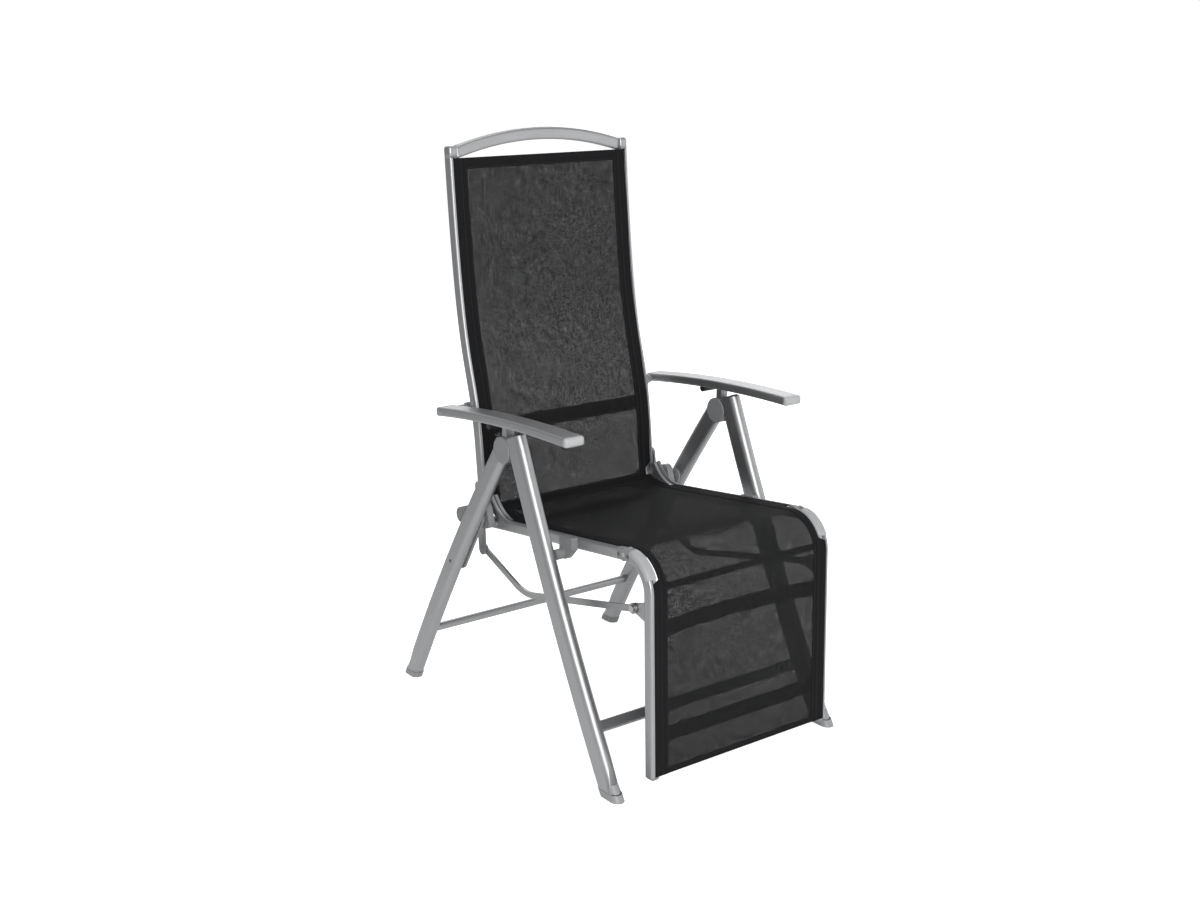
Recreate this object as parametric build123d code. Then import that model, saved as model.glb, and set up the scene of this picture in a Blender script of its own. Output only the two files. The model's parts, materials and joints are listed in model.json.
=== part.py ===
from build123d import *
import os
from math import asin, atan2, cos, degrees, hypot, pi, radians, sin

# Reclining garden armchair with a linked footrest, on a folding frame of flat oval legs.
# X points to the front, +Y to the sitter's left, Z up. Z = 0 is the floor.
# X = 0 and Y = 0 lie under the middle of the chair's outline seen from above.
# The left hand pieces are drawn and the right hand ones are their mirror images.
# The chair stands upright here, with the footrest hanging and the legs open.

# Leg frame, in the side view
hinge_height = 584.0
hinge_ahead = 3.0
front_reach = 332.4
front_lead = 43.0
front_bow = 44.7
rear_reach = 369.8
rear_trail = 9.0
rear_bow = 54.0
front_depth = 48.0
front_width = 26.0
rear_depth = 42.0
rear_width = 24.0
leg_wall = 1.8
leg_top_above = 34.0
foot_run = 34.0
foot_height = 13.0
foot_plug = 16.0
foot_lip = 0.8
plug_clear = 0.3
head_share = 0.88
head_plug_share = 0.05
head_round = 4.0
middle_share = 0.5

# Knuckle of the leg frame
disc_radius = 26.0
disc_width = 28.0
disc_clear = 0.6
disc_edge = 1.2
tongue_width = 6.0
tongue_radius = 18.0
tongue_clear = 0.3
tongue_height = 30.0
tongue_run = 34.0
slot_margin_deg = 4.0
knuckle_pin_radius = 5.0
pin_clear = 0.05
post_length = 14.0
post_width = 18.0
post_ahead = 5.0
latch_above = 16.0
latch_radius = 4.0
latch_length = 30.0
bar_wall = 1.5
front_bar_height = 112.0
front_bar_depth = 22.0
rear_bar_height = 124.0
rear_bar_depth = 20.0
bar_width = 12.0

# Seat and back rails
rail_centre = 210.0
rail_width = 19.0
rail_depth = 23.0
rail_round = 5.5
rail_wall = 1.7
bed_width = 12.0
bed_depth = 3.0
keder_inset = 9.0
keder_slit = 2.6
keder_mouth = 2.6
keder_room = 6.0
chamber_inset = 3.2
sling_thickness = 1.6
sling_bed_gap = 0.2
sling_tuck = 11.4
sling_side_gap = 0.6
sling_knee_inset = 18.6
seat_pivot_height = 407.0
seat_pivot_ahead = 10.0
knee_ahead = 165.0
knee_above = 40.0
seat_rise_deg = 6.84
rail_length = 506.6
fin_along = 358.0
fin_radius = 80.0
fin_turn_deg = 58.0
fin_run = 15.0
fin_low = -5.0
knee_block = 18.0
knee_eye = 11.5
knee_gap = 0.5
knee_tongue = 7.0
knee_side_gap = 0.3
knee_slot_gap = 1.3
knee_relief = 6.0
knee_pin_radius = 4.0
rivet_radius = 3.2
rivet_height = 0.9
rivet_inset = 13.0

# Recline hinge, lever and seat housing
side_gap = 1.0
lever_width = 4.0
lever_hub = 13.0
lever_end = 11.0
lever_drop = 83.0
lever_ahead = 6.5
lever_pad_reach = 46.0
recline_along = 460.4
recline_gap = 1.0
cheek_width = 14.0
cheek_rear_along = 510.6
cheek_rear_above = 8.9
cheek_rear_round = 16.0
cheek_top_along = 425.2
cheek_top_above = 31.9
cheek_top_round = 14.0
cheek_low_along = 418.0
cheek_low_above = 5.0
cheek_low_round = 12.0
boss_rear_along = 488.0
boss_front_along = 409.0
boss_radius = 7.0
boss_front_radius = 5.0
recline_pin_radius = 4.0
hook_gap = 10.5
hook_width = 5.0
hook_along = 421.0
hook_above = 17.3
hook_pin_radius = 5.0
hook_pin_clear = 0.3
hook_end_gap = 1.0
hook_round = 16.0
hook_foot_height = 310.0
hook_foot_round = 20.0
hook_mouth_low_deg = 96.0
hook_mouth_high_deg = 172.0
hook_mouth_reach = 40.0
housing_pin_depth = 9.0
clamp_width = 14.0
clamp_rear = 10.0
clamp_front = 29.0
clamp_low = 9.0
clamp_boss_radius = 10.0
clamp_boss_gap = 2.0
stud_radius = 6.0
stud_depth = 27.0
seat_bar_depth = 12.0
seat_bar_width = 22.0
seat_bar_drop = 5.5
seat_rear_bar_along = 385.0
seat_front_bar_along = 62.0
end_cap_length = 6.0
end_cap_round = 3.0

# Backrest
back_height = 1104.0
back_runs = (54.0, 209.0, 299.0, 474.0)
back_leans = (6.0, 28.0, 53.0, 85.0)
back_top_lean = 107.0
back_cap_height = 23.0
back_cap_round = 7.0
bow_depth = 25.0
bow_width = 16.0
bow_rise = 22.5
bow_end_above = 17.0
bow_flat_half = 100.0
bow_flat_rise = 3.0
back_bar_height = 575.0
back_bar_depth = 31.0
back_bar_width = 12.0
back_bar_set = 3.0
back_sling_low = 24.0

# Armrests
arm_pivot_behind = 44.0
arm_pivot_below = 18.00315
arm_rear = 12.0
arm_length = 426.0
arm_rear_below = 16.6
arm_middle_above = 5.4
arm_front_above = 10.6
arm_width = 42.0
arm_depth = 18.0
arm_round = 5.0
arm_wall = 2.0
arm_top_wall = 2.5
arm_cap_length = 12.0
arm_cap_round = 3.5
arm_bolt_radius = 4.0
arm_bolt_head = 6.5
arm_bolt_dome = 1.2
lug_width = 4.0
lug_round = 12.0
lug_foot_height = 34.0
bush_radius = 9.0
bush_gap = 0.5
rack_width = 34.0
rack_clear = 0.7
rack_tooth = 3.4
rack_pitch_deg = 6.0
rack_rear_run = 48.0
rack_front_run = 12.0
rack_bump_radius = 7.0
rack_bump_behind = 43.0
rack_bump_drop = 3.0

# Footrest and push rods
knee_radius = 61.5
foot_lean_deg = 1.9
footrest_low = 45.0
footrest_upper_drop = 74.977
footrest_lower_rise = 69.0
footrest_top_rise = 9.023
footrest_bar_depth = 30.0
footrest_bar_width = 12.0
footrest_bar_set = 5.0
footrest_bow = 20.0
footrest_top_depth = 14.0
guard_width = 11.6
guard_thickness = 4.2
guard_gap = 0.6
guard_start_share = 0.15
guard_end_share = 0.75
footrest_sling_gap = 4.5
rod_width = 5.0
rod_depth = 12.0
rod_eye = 9.0
rod_pin_radius = 4.0
rod_loose = 0.8
rod_ahead = 27.0
rod_below = 93.5
rod_bend_share = 0.288
rod_bend_drop = 62.0
rod_bend_radius = 110.0
rod_head = 6.5
rod_head_height = 2.0
bracket_width = 5.0
bracket_foot = 44.0

# Travel of the moving pieces
recline_deg = 42.0
level_share = 0.300
quarter_deg = 90.0
fold_deg = 52.0

# Heights of the leg's top and of the latch pin, on which the armrest's rack lies
leg_top_height = hinge_height + leg_top_above
latch_height = leg_top_height + latch_above

# Sideways stack, from the rails out to the legs
rail_outer = rail_centre + rail_width / 2
rail_inner = rail_centre - rail_width / 2
lever_inner = rail_outer + side_gap
lever_outer = lever_inner + lever_width
cheek_inner = lever_outer + side_gap
cheek_outer = cheek_inner + cheek_width
hook_inner = cheek_outer + hook_gap
hook_outer = hook_inner + hook_width
leg_centre = hook_outer + rear_width / 2
front_inner = leg_centre - front_width / 2
arm_inner = leg_centre - arm_width / 2
arm_outer = leg_centre + arm_width / 2
rod_outer = lever_inner - side_gap
rod_inner = rod_outer - rod_width
bracket_outer = rod_inner - side_gap
bracket_inner = bracket_outer - bracket_width


def side(x, z):
    """Point of the side view plane."""
    return Vector(x, 0, z)


def front_axis(z):
    """Centre line of the front leg at a height."""
    t = z / hinge_height
    ahead = front_reach - (front_reach - front_lead + front_bow) * t + front_bow * t * t
    return side(hinge_ahead + ahead, z)


def rear_axis(z):
    """Centre line of the rear leg at a height."""
    t = z / hinge_height
    behind = rear_reach - (rear_reach - rear_trail - rear_bow) * t - rear_bow * t * t
    return side(hinge_ahead - behind, z)


def turned(point, centre, angle):
    """Side view point turned about a centre, from X towards Z, by degrees."""
    dx = point.X - centre.X
    dz = point.Z - centre.Z
    c = cos(radians(angle))
    s = sin(radians(angle))
    return side(centre.X + dx * c - dz * s, centre.Z + dx * s + dz * c)


hinge = side(hinge_ahead, hinge_height)
seat_pivot = front_axis(seat_pivot_height) + side(seat_pivot_ahead, 0)
knee = side(seat_pivot.X + knee_ahead, seat_pivot.Z + knee_above)
rail_dir = side(cos(radians(seat_rise_deg)), sin(radians(seat_rise_deg)))
rail_up = side(-sin(radians(seat_rise_deg)), cos(radians(seat_rise_deg)))


def seat_point(along, above):
    """Point in the seat's own directions, along rearwards from the knee hinge."""
    return knee - rail_dir * along + rail_up * above


recline_pivot = seat_point(recline_along, rail_depth + recline_gap)
lever_tip = side(recline_pivot.X + lever_ahead, recline_pivot.Z - lever_drop)
arm_pivot = side(recline_pivot.X - arm_pivot_behind, latch_height - arm_pivot_below)
hook_pin_at = seat_point(hook_along, hook_above)
rod_tip = side(knee.X + rod_ahead, knee.Z - rod_below)
latch = side(hinge_ahead + post_ahead, latch_height)


def across(path):
    """Plane across the start of a side view path, with its X sideways."""
    return Plane(origin=path @ 0, x_dir=(0, 1, 0), z_dir=path % 0)


def swept(section, path):
    """Section swept along a side view path."""
    return sweep(across(path) * section, path=path)


def moved_out(part, y):
    """Part moved sideways to the left."""
    return Pos(0, y, 0) * part


def right_of(part):
    """Mirror image on the right hand side."""
    return mirror(part, about=Plane.XZ)


def pin(at, radius, inner, outer):
    """Round bar across the chair between two sideways places."""
    centre = Vector(at.X, (inner + outer) / 2, at.Z)
    return Pos(centre) * Rot(X=quarter_deg) * Cylinder(radius, outer - inner)


def plate(outline, inner, outer):
    """Side view outline drawn out between two sideways places."""
    face = Plane(origin=(0, outer, 0), x_dir=(1, 0, 0), z_dir=(0, -1, 0)) * outline
    return extrude(face, amount=outer - inner)


def disc(at, radius):
    """Circle in side view terms, for plates."""
    return Pos(at.X, at.Z) * Circle(radius)


def bar_outline(a, b, ra, rb):
    """Outline of two circles and the band between them, for plates."""
    dx = b.X - a.X
    dz = b.Z - a.Z
    far = hypot(dx, dz)
    turn = atan2(dz, dx)
    lean = atan2(ra - rb, far)
    points = []
    for at, r, sign in ((a, ra, 1), (b, rb, 1), (b, rb, -1), (a, ra, -1)):
        way = turn + sign * (pi / 2 - lean)
        points.append((at.X + r * cos(way), at.Z + r * sin(way)))
    band = make_face(Polyline(*points, close=True))
    return disc(a, ra) + band + disc(b, rb)


def wedge_outline(at, low, high, reach):
    """Outline of a wedge from a point, between two directions in degrees."""
    middle = (low + high) / 2
    points = [(at.X, at.Z)]
    for angle in (low, middle, high):
        points.append((at.X + reach * cos(radians(angle)), at.Z + reach * sin(radians(angle))))
    return make_face(Polyline(*points, close=True))


def level_slab(low, high):
    """Large block between two heights, to cut the legs level."""
    span = front_reach + rear_reach + front_depth
    return Pos(0, 0, (low + high) / 2) * Box(span * 2, span * 2, high - low)


# Leg frame


def oval(depth, width):
    """Flat oval section, deep in the side view."""
    return SlotOverall(depth, width, rotation=quarter_deg)


def leg_path(axis, top):
    """Bowed leg centre line, drawn on below the floor so that its end is cut level."""
    return ThreePointArc(axis(-foot_run), axis((top - foot_run) * middle_share), axis(top))


front_path = leg_path(front_axis, leg_top_height)
rear_path = leg_path(rear_axis, hinge_height - disc_radius * middle_share)


def leg_tube(path, depth, width):
    """Open tube of a leg, above its foot."""
    section = oval(depth, width) - oval(depth - leg_wall * 2, width - leg_wall * 2)
    return swept(section, path) & level_slab(foot_height + plug_clear, leg_top_height * 2)


def foot(path, depth, width):
    """Plastic foot with its plug in the tube, cut level with the floor."""
    reach = (foot_run + foot_height + foot_plug * 2) / path.length
    lower = Line(path @ 0, path @ reach)
    pad = swept(oval(depth + foot_lip * 2, width + foot_lip * 2), lower)
    inset = (leg_wall + plug_clear) * 2
    plug = swept(oval(depth - inset, width - inset), lower)
    return (pad & level_slab(0, foot_height)) + (plug & level_slab(0, foot_height + foot_plug))


def knuckle_room(width):
    """Round room for the disc."""
    return pin(hinge, disc_radius + disc_clear, -width / 2, width / 2)


foot_to_top = front_axis(hinge_height) - front_axis(0)
tongue_way = degrees(atan2(foot_to_top.Z, foot_to_top.X)) - quarter_deg
tongue_half_way = degrees(asin(tongue_height / 2 / (tongue_radius + disc_clear)))


def front_leg():
    return leg_tube(front_path.trim(0, head_share), front_depth, front_width)


def leg_head():
    """Moulded head on the front leg, with the hinge tongue and the latch post."""
    body = swept(oval(front_depth, front_width), Line(front_path @ head_share, front_path @ 1))
    top_face = body.faces().sort_by_distance(front_path @ 1)[0]
    body = chamfer(top_face.edges(), head_round)
    inset = (leg_wall + plug_clear) * 2
    plug_path = front_path.trim(head_share - head_plug_share, head_share)
    body += swept(oval(front_depth - inset, front_width - inset), plug_path)
    post = Pos(latch.X, 0, (hinge_height + latch_height) / 2)
    body += post * Box(post_length, post_width, latch_height - hinge_height)
    body -= knuckle_room(front_width * 2)
    strip = Pos(tongue_run / 2, 0) * Rectangle(tongue_run, tongue_height)
    reach = Pos(hinge.X, hinge.Z) * Rot(Z=tongue_way) * strip
    outline = disc(hinge, tongue_radius) + reach
    body += plate(outline, -tongue_width / 2, tongue_width / 2)
    body -= pin(hinge, knuckle_pin_radius, -front_width, front_width)
    body -= pin(latch, latch_radius, -front_width, front_width)
    return body


def latch_pin():
    return pin(latch, latch_radius, -latch_length / 2, latch_length / 2)


def knuckle_pin():
    half = disc_width / 2 - disc_edge
    return pin(hinge, knuckle_pin_radius, -half, half)


def rear_leg():
    tube = leg_tube(rear_path, rear_depth, rear_width)
    return tube - pin(hinge, disc_radius, -disc_width, disc_width)


def knuckle_disc():
    """Round fork on the rear leg that takes the tongue of the front leg."""
    half = disc_width / 2
    body = pin(hinge, disc_radius, -half, half)
    body = chamfer(body.edges().filter_by(GeomType.CIRCLE), disc_edge)
    inset = (leg_wall + plug_clear) * 2
    plug_low = 1 - head_plug_share * 2
    plug = swept(oval(rear_depth - inset, rear_width - inset), rear_path.trim(plug_low, 1))
    body += plug - pin(hinge, disc_radius, -half, half)
    room = disc(hinge, tongue_radius + disc_clear)
    high = tongue_way + tongue_half_way + slot_margin_deg
    low = tongue_way - tongue_half_way - slot_margin_deg - fold_deg
    room += wedge_outline(hinge, low, high, disc_radius * 2)
    gap = tongue_width / 2 + tongue_clear
    body -= plate(room, -gap, gap)
    bore = half - disc_edge
    body -= pin(hinge, knuckle_pin_radius + pin_clear, -bore, bore)
    return body


def cross_bar(at, depth, width, half, lean):
    """Flat oval tube straight across, between two faces."""
    plane = Plane(origin=(at.X, -half, at.Z), x_dir=(cos(lean), 0, sin(lean)), z_dir=(0, 1, 0))
    inner = SlotOverall(depth - bar_wall * 2, width - bar_wall * 2, rotation=0)
    return extrude(plane * (SlotOverall(depth, width, rotation=0) - inner), amount=half * 2)


def leg_lean(axis, z):
    """Direction of a leg at a height, in radians from X."""
    step = axis(z + foot_run) - axis(z)
    return atan2(step.Z, step.X)


def hook_bracket():
    """Open hook on the rear leg in which the seat's pin rests."""
    foot_at = rear_axis(hook_foot_height)
    outline = bar_outline(foot_at, hook_pin_at, hook_foot_round, hook_round)
    outline -= disc(hook_pin_at, hook_pin_radius + hook_pin_clear)
    outline -= wedge_outline(hook_pin_at, hook_mouth_low_deg, hook_mouth_high_deg, hook_mouth_reach)
    return plate(outline, hook_inner, hook_outer)


def dome(at, radius, height, face, outward):
    """Low rivet head on a face across the chair."""
    base = Pos(at.X, face, at.Z) * Rot(X=-quarter_deg * outward)
    head = Pos(0, 0, height / 2) * Cylinder(radius, height)
    rim = head.faces().sort_by(Axis.Z)[-1].edges()
    return base * chamfer(rim, height * middle_share)


def hook_rivet():
    outer = leg_centre + rear_width / 2
    return dome(rear_axis(hook_foot_height), rivet_radius, rivet_height, outer, 1)


# Rails with a keder channel


bed_height = rail_depth / 2 - bed_depth
sling_rise = bed_height + sling_bed_gap + sling_thickness / 2


def rail_solid_section():
    return RectangleRounded(rail_width, rail_depth, rail_round)


def rail_bed_section():
    """Rail outline with the low bed on its inner half, in which the fabric's edge lies."""
    bed = Pos(bed_width / 2 - rail_width / 2, bed_height + bed_depth / 2) * Rectangle(bed_width, bed_depth)
    return rail_solid_section() - bed


def rail_channel_section():
    """Rail outline with the bed, and a slit down into the room of the fabric's cord."""
    slit_x = keder_inset - rail_width / 2
    slit = Pos(slit_x, bed_height - keder_mouth / 2) * Rectangle(keder_slit, keder_mouth)
    room_mid = bed_height - keder_mouth - keder_room / 2
    room = Pos(slit_x, room_mid) * Rectangle(keder_room, keder_room)
    return rail_bed_section() - slit - room


def rail_section():
    """Extruded rail: the channel of the fabric's cord above one chamber."""
    chamber_top = bed_height - keder_mouth - keder_room - rail_wall
    chamber_low = rail_wall - rail_depth / 2
    chamber = Rectangle(rail_width - chamber_inset * 2, chamber_top - chamber_low)
    return rail_channel_section() - Pos(0, (chamber_top + chamber_low) / 2) * chamber


rail_path = Line(seat_point(rail_length, 0), seat_point(knee_block, 0))


def fin_lines():
    """Turned up end of the rail's centre line, from its top down to where it leaves the rail."""
    centre = seat_point(fin_along, fin_radius)
    start = seat_point(fin_along, 0)
    middle = turned(start, centre, -fin_turn_deg * middle_share)
    arc = ThreePointArc(turned(start, centre, -fin_turn_deg), middle, start)
    top = (arc @ 0) - (arc % 0) * fin_run
    return Line(top, arc @ 0), arc


def fin_section():
    """Upper part of the rail, with the bed and the room of the fabric's cord."""
    strip = rail_channel_section()
    return strip & Pos(0, fin_low + rail_depth / 2) * Rectangle(rail_width, rail_depth)


def seat_rail():
    """Extruded rail, with its upper part turned up at the rear to carry the fabric's end."""
    body = swept(rail_section(), rail_path)
    body += swept(fin_section(), Wire(list(fin_lines())))
    return moved_out(body, rail_centre)


def rail_end_cap():
    """Plastic cap on the rear end of a seat rail."""
    path = Line(seat_point(rail_length + end_cap_length, 0), seat_point(rail_length, 0))
    cap = swept(rail_solid_section(), path)
    cap = chamfer(cap.faces().sort_by(Axis.X)[0].edges(), end_cap_round)
    return moved_out(cap, rail_centre)


def knee_tongue_block():
    """Knuckle plug on the front end of a seat rail, with one tongue."""
    path = Line(seat_point(knee_block, 0), seat_point(knee_relief, 0))
    block = swept(rail_bed_section(), path)
    block -= pin(knee, knee_eye + knee_gap, -rail_width, rail_width)
    arm_path = Line(seat_point(knee_block, 0), seat_point(0, 0))
    block += swept(Rectangle(knee_tongue, knee_eye * 2), arm_path)
    block += pin(knee, knee_eye, -knee_tongue / 2, knee_tongue / 2)
    block -= pin(knee, knee_pin_radius + pin_clear, -rail_width, rail_width)
    return moved_out(block, rail_centre)


def footrest_path():
    """Centre line of a footrest tube, from the knee hinge round the bend to its lower end."""
    centre = knee - rail_up * knee_radius
    sweep_deg = quarter_deg + seat_rise_deg - foot_lean_deg
    bend_mid = turned(knee, centre, -sweep_deg * middle_share)
    bend_end = turned(knee, centre, -sweep_deg)
    low = bend_end.Z - footrest_low
    lean = radians(foot_lean_deg)
    end = side(bend_end.X + low * sin(lean) / cos(lean), footrest_low)
    return ThreePointArc(knee, bend_mid, bend_end), Line(bend_end, end)


knee_arc, shin_line = footrest_path()
shin_top_height = (shin_line @ 0).Z
knee_block_share = knee_block / knee_arc.length


def footrest_tube():
    bend = knee_arc.trim(knee_block_share, 1)
    path = Wire([bend, shin_line])
    return moved_out(swept(rail_section(), path), rail_centre)


def knee_fork_block():
    """Knuckle plug on the upper end of a footrest tube, with two cheeks."""
    block = swept(rail_bed_section(), knee_arc.trim(0, knee_block_share))
    block &= pin(knee, knee_block * 2, -rail_width, rail_width)
    block += pin(knee, knee_eye, -rail_width / 2, rail_width / 2)
    corner = Plane(origin=(knee.X, 0, knee.Z), x_dir=(0, 1, 0), z_dir=(rail_dir.X, 0, rail_dir.Z))
    behind = extrude(corner * Rectangle(rail_width * 2, rail_depth * 2), amount=-rail_depth)
    block -= behind - pin(knee, knee_eye, -rail_width, rail_width)
    gap = knee_tongue / 2 + knee_side_gap
    block -= pin(knee, knee_eye + knee_slot_gap, -gap, gap)
    block -= pin(knee, knee_pin_radius, -rail_width, rail_width)
    return moved_out(block, rail_centre)


def knee_pin():
    return pin(knee, knee_pin_radius, rail_inner, rail_outer)


def knee_rivet_front():
    centre = knee - rail_up * knee_radius
    turn = degrees(rivet_inset / knee_radius)
    return dome(turned(knee, centre, -turn), rivet_radius, rivet_height, rail_outer, 1)


def knee_rivet_rear():
    return dome(seat_point(rivet_inset, 0), rivet_radius, rivet_height, rail_outer, 1)


# Seat


def seat_clamp():
    """Plastic clamp on a seat rail, with the boss that turns on the front leg's stud."""
    top = seat_point(0, rail_depth / 2)
    rise = rail_dir.Z / rail_dir.X
    left = seat_pivot.X - clamp_rear
    right = seat_pivot.X + clamp_front
    low = seat_pivot.Z - clamp_low
    points = [(left, low), (seat_pivot.X + clamp_low, low)]
    points += [(right, top.Z + (right - top.X) * rise - rail_depth)]
    points += [(right, top.Z + (right - top.X) * rise), (left, top.Z + (left - top.X) * rise)]
    body = plate(make_face(Polyline(*points, close=True)), rail_outer, rail_outer + clamp_width)
    body = fillet(body.edges().filter_by(Axis.Y), end_cap_round)
    body += pin(seat_pivot, clamp_boss_radius, rail_outer, front_inner - clamp_boss_gap)
    return body - pin(seat_pivot, stud_radius + pin_clear, front_inner - stud_depth, front_inner)


def seat_stud():
    return pin(seat_pivot, stud_radius, front_inner - stud_depth, front_inner)


def seat_bar(along):
    at = seat_point(along, -seat_bar_drop)
    lean = atan2(rail_dir.Z, rail_dir.X)
    return cross_bar(at, seat_bar_width, seat_bar_depth, rail_inner, lean)


def seat_housing():
    """Moulded cheek outside the rail's rear end, for the back's hinge pin and the hook pin."""
    rear = seat_point(cheek_rear_along, cheek_rear_above)
    top = seat_point(cheek_top_along, cheek_top_above)
    low = seat_point(cheek_low_along, cheek_low_above)
    outline = bar_outline(rear, top, cheek_rear_round, cheek_top_round)
    outline += bar_outline(top, low, cheek_top_round, cheek_low_round)
    outline += bar_outline(rear, low, cheek_rear_round, cheek_low_round)
    outline += make_face(Polyline((rear.X, rear.Z), (top.X, top.Z), (low.X, low.Z), close=True))
    body = plate(outline, cheek_inner, cheek_outer)
    rear_boss = seat_point(boss_rear_along, 0)
    front_boss = seat_point(boss_front_along, 0)
    body += pin(rear_boss, boss_radius, rail_outer, cheek_inner)
    body += pin(front_boss, boss_front_radius, rail_outer, cheek_inner)
    body -= pin(recline_pivot, recline_pin_radius, cheek_inner - side_gap, cheek_outer)
    return body - pin(hook_pin_at, hook_pin_radius, cheek_outer - housing_pin_depth, cheek_outer)


def hook_pin():
    return pin(hook_pin_at, hook_pin_radius, cheek_outer - housing_pin_depth, hook_outer - hook_end_gap)


def recline_pin():
    """Pin pressed in the seat's cheek, on which the back turns."""
    return pin(recline_pivot, recline_pin_radius, rail_inner, cheek_outer)


def sling_section(reach):
    """Fabric across the chair, reaching into the rails or short of them, in rail section terms."""
    half = rail_inner + reach
    return Pos(0, sling_rise) * Rectangle(half * 2, sling_thickness)


def seat_sling():
    """Fabric of the seat, up the rails' turned ends and down to the knee hinge."""
    flat = Line(seat_point(fin_along, 0), seat_point(sling_knee_inset, 0))
    wide = Wire([*fin_lines(), flat])
    narrow = Line(seat_point(sling_knee_inset, 0), seat_point(footrest_sling_gap, 0))
    return swept(sling_section(sling_tuck), wide) + swept(sling_section(-sling_side_gap), narrow)


# Footrest


def footrest_sling():
    start = footrest_sling_gap / knee_arc.length
    turn = guard_end_share + guard_gap / knee_arc.length
    narrow = swept(sling_section(-sling_side_gap), knee_arc.trim(start, turn))
    return narrow + swept(sling_section(sling_tuck), Wire([knee_arc.trim(turn, 1), shin_line]))


def shin_point(height, set_back):
    """Point of the footrest tube's centre line at a height, set back to the rear."""
    a = shin_line @ 0
    b = shin_line @ 1
    share = (a.Z - height) / (a.Z - b.Z)
    return side(a.X + (b.X - a.X) * share - set_back, height)


def footrest_lower_bar():
    at = shin_point(footrest_low + footrest_lower_rise, footrest_bar_set)
    return cross_bar(at, footrest_bar_depth, footrest_bar_width, rail_inner, pi / 2)


def footrest_top_bar():
    at = shin_point(shin_top_height + footrest_top_rise, footrest_bar_set)
    return cross_bar(at, footrest_top_depth, footrest_top_depth * middle_share, rail_inner, pi / 2)


def footrest_upper_bar():
    """Flat oval bar bowed to the rear, clear of the sitter's calves."""
    at = shin_point(shin_top_height - footrest_upper_drop, footrest_bar_set)
    left = (at.X, -rail_inner, at.Z)
    right = (at.X, rail_inner, at.Z)
    path = ThreePointArc(left, (at.X - footrest_bow, 0, at.Z), right)
    plane = Plane(origin=left, x_dir=(0, 0, 1), z_dir=path % 0)
    inner = SlotOverall(footrest_bar_depth - bar_wall * 2, footrest_bar_width - bar_wall * 2)
    bar = sweep(plane * (SlotOverall(footrest_bar_depth, footrest_bar_width) - inner), path=path)
    return bar & Box(front_reach * 4, rail_inner * 2, hinge_height * 4)


def footrest_cap():
    """Plastic plug on the lower end of a footrest tube."""
    low = shin_line @ 1
    path = Line(low, low + (shin_line % 1) * end_cap_length)
    cap = swept(rail_solid_section(), path)
    cap = chamfer(cap.faces().sort_by(Axis.Z)[0].edges(), end_cap_round)
    return moved_out(cap, rail_centre)


def corner_guard():
    """Strip that fills the rail's bed round the knee, outside the fabric's edge."""
    middle = bed_width - guard_width / 2 - rail_width / 2
    section = Pos(middle, bed_height + guard_thickness / 2) * Rectangle(guard_width, guard_thickness)
    return moved_out(swept(section, knee_arc.trim(guard_start_share, guard_end_share)), rail_centre)


def rod_bracket():
    """Plate behind a footrest tube that takes the push rod."""
    high = shin_point(rod_tip.Z + bracket_foot * middle_share, 0)
    low = shin_point(rod_tip.Z - bracket_foot * middle_share, 0)
    outline = disc(rod_tip, rod_eye)
    face = [(rod_tip.X, rod_tip.Z + rod_eye), (high.X, high.Z), (low.X, low.Z)]
    outline += make_face(Polyline(*face, (rod_tip.X, rod_tip.Z - rod_eye), close=True))
    body = plate(outline, bracket_inner, bracket_outer)
    body -= moved_out(swept(rail_solid_section(), shin_line), rail_centre)
    return body - pin(rod_tip, rod_pin_radius, bracket_inner, bracket_outer)


def rod_front_pin():
    shaft = pin(rod_tip, rod_pin_radius, bracket_inner, rod_outer + rod_loose)
    return shaft + pin(rod_tip, rod_head, rod_outer + rod_loose, rod_outer + rod_loose + rod_head_height)


# Push rods


def push_rod():
    """Flat bent rod from the back's lever to the footrest."""
    run = rod_tip - lever_tip
    ahead = run.normalized()
    under = Vector(ahead.Z, 0, -ahead.X)
    bend = lever_tip + run * rod_bend_share + under * rod_bend_drop
    path = FilletPolyline(lever_tip, bend, rod_tip, radius=rod_bend_radius)
    body = swept(Rectangle(rod_width, rod_depth), path)
    body = moved_out(body, rod_inner + rod_width / 2)
    body += pin(lever_tip, rod_eye, rod_inner, rod_outer)
    body += pin(rod_tip, rod_eye + rod_loose, rod_inner, rod_outer)
    body -= pin(lever_tip, rod_pin_radius + pin_clear, rod_inner, rod_outer)
    return body - pin(rod_tip, rod_pin_radius + rod_loose, rod_inner, rod_outer)


# Backrest


def back_points():
    """Centre line of a back tube, from its top to the recline hinge."""
    points = [recline_pivot]
    for run, lean in zip(back_runs, back_leans):
        points.append(side(recline_pivot.X - lean, recline_pivot.Z + run))
    points.append(side(recline_pivot.X - back_top_lean, back_height))
    return list(reversed(points))


back_path = Spline(*back_points())


def back_at(height):
    """Point of the back tube's centre line at a height, by halving."""
    low = 0
    high = 1
    for _ in range(24):
        mid = (low + high) / 2
        if (back_path @ mid).Z > height:
            low = mid
        else:
            high = mid
    return back_path @ low


def back_tube():
    """Back tube, rounded about the recline hinge at its lower end."""
    tube = swept(rail_section(), back_path)
    tube = moved_out(tube, rail_centre)
    eye = pin(recline_pivot, knee_eye, rail_inner, rail_outer)
    return (tube + eye) - pin(recline_pivot, recline_pin_radius + pin_clear, rail_inner, rail_outer)


def back_cap():
    """Rounded plastic end on the top of a back tube, beside the bow."""
    top = back_path @ 0
    path = Line(top, top - (back_path % 0) * back_cap_height)
    cap = swept(rail_solid_section(), path)
    cap = chamfer(cap.faces().sort_by(Axis.Z)[-1].edges(), end_cap_round)
    return moved_out(cap, rail_centre)


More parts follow.
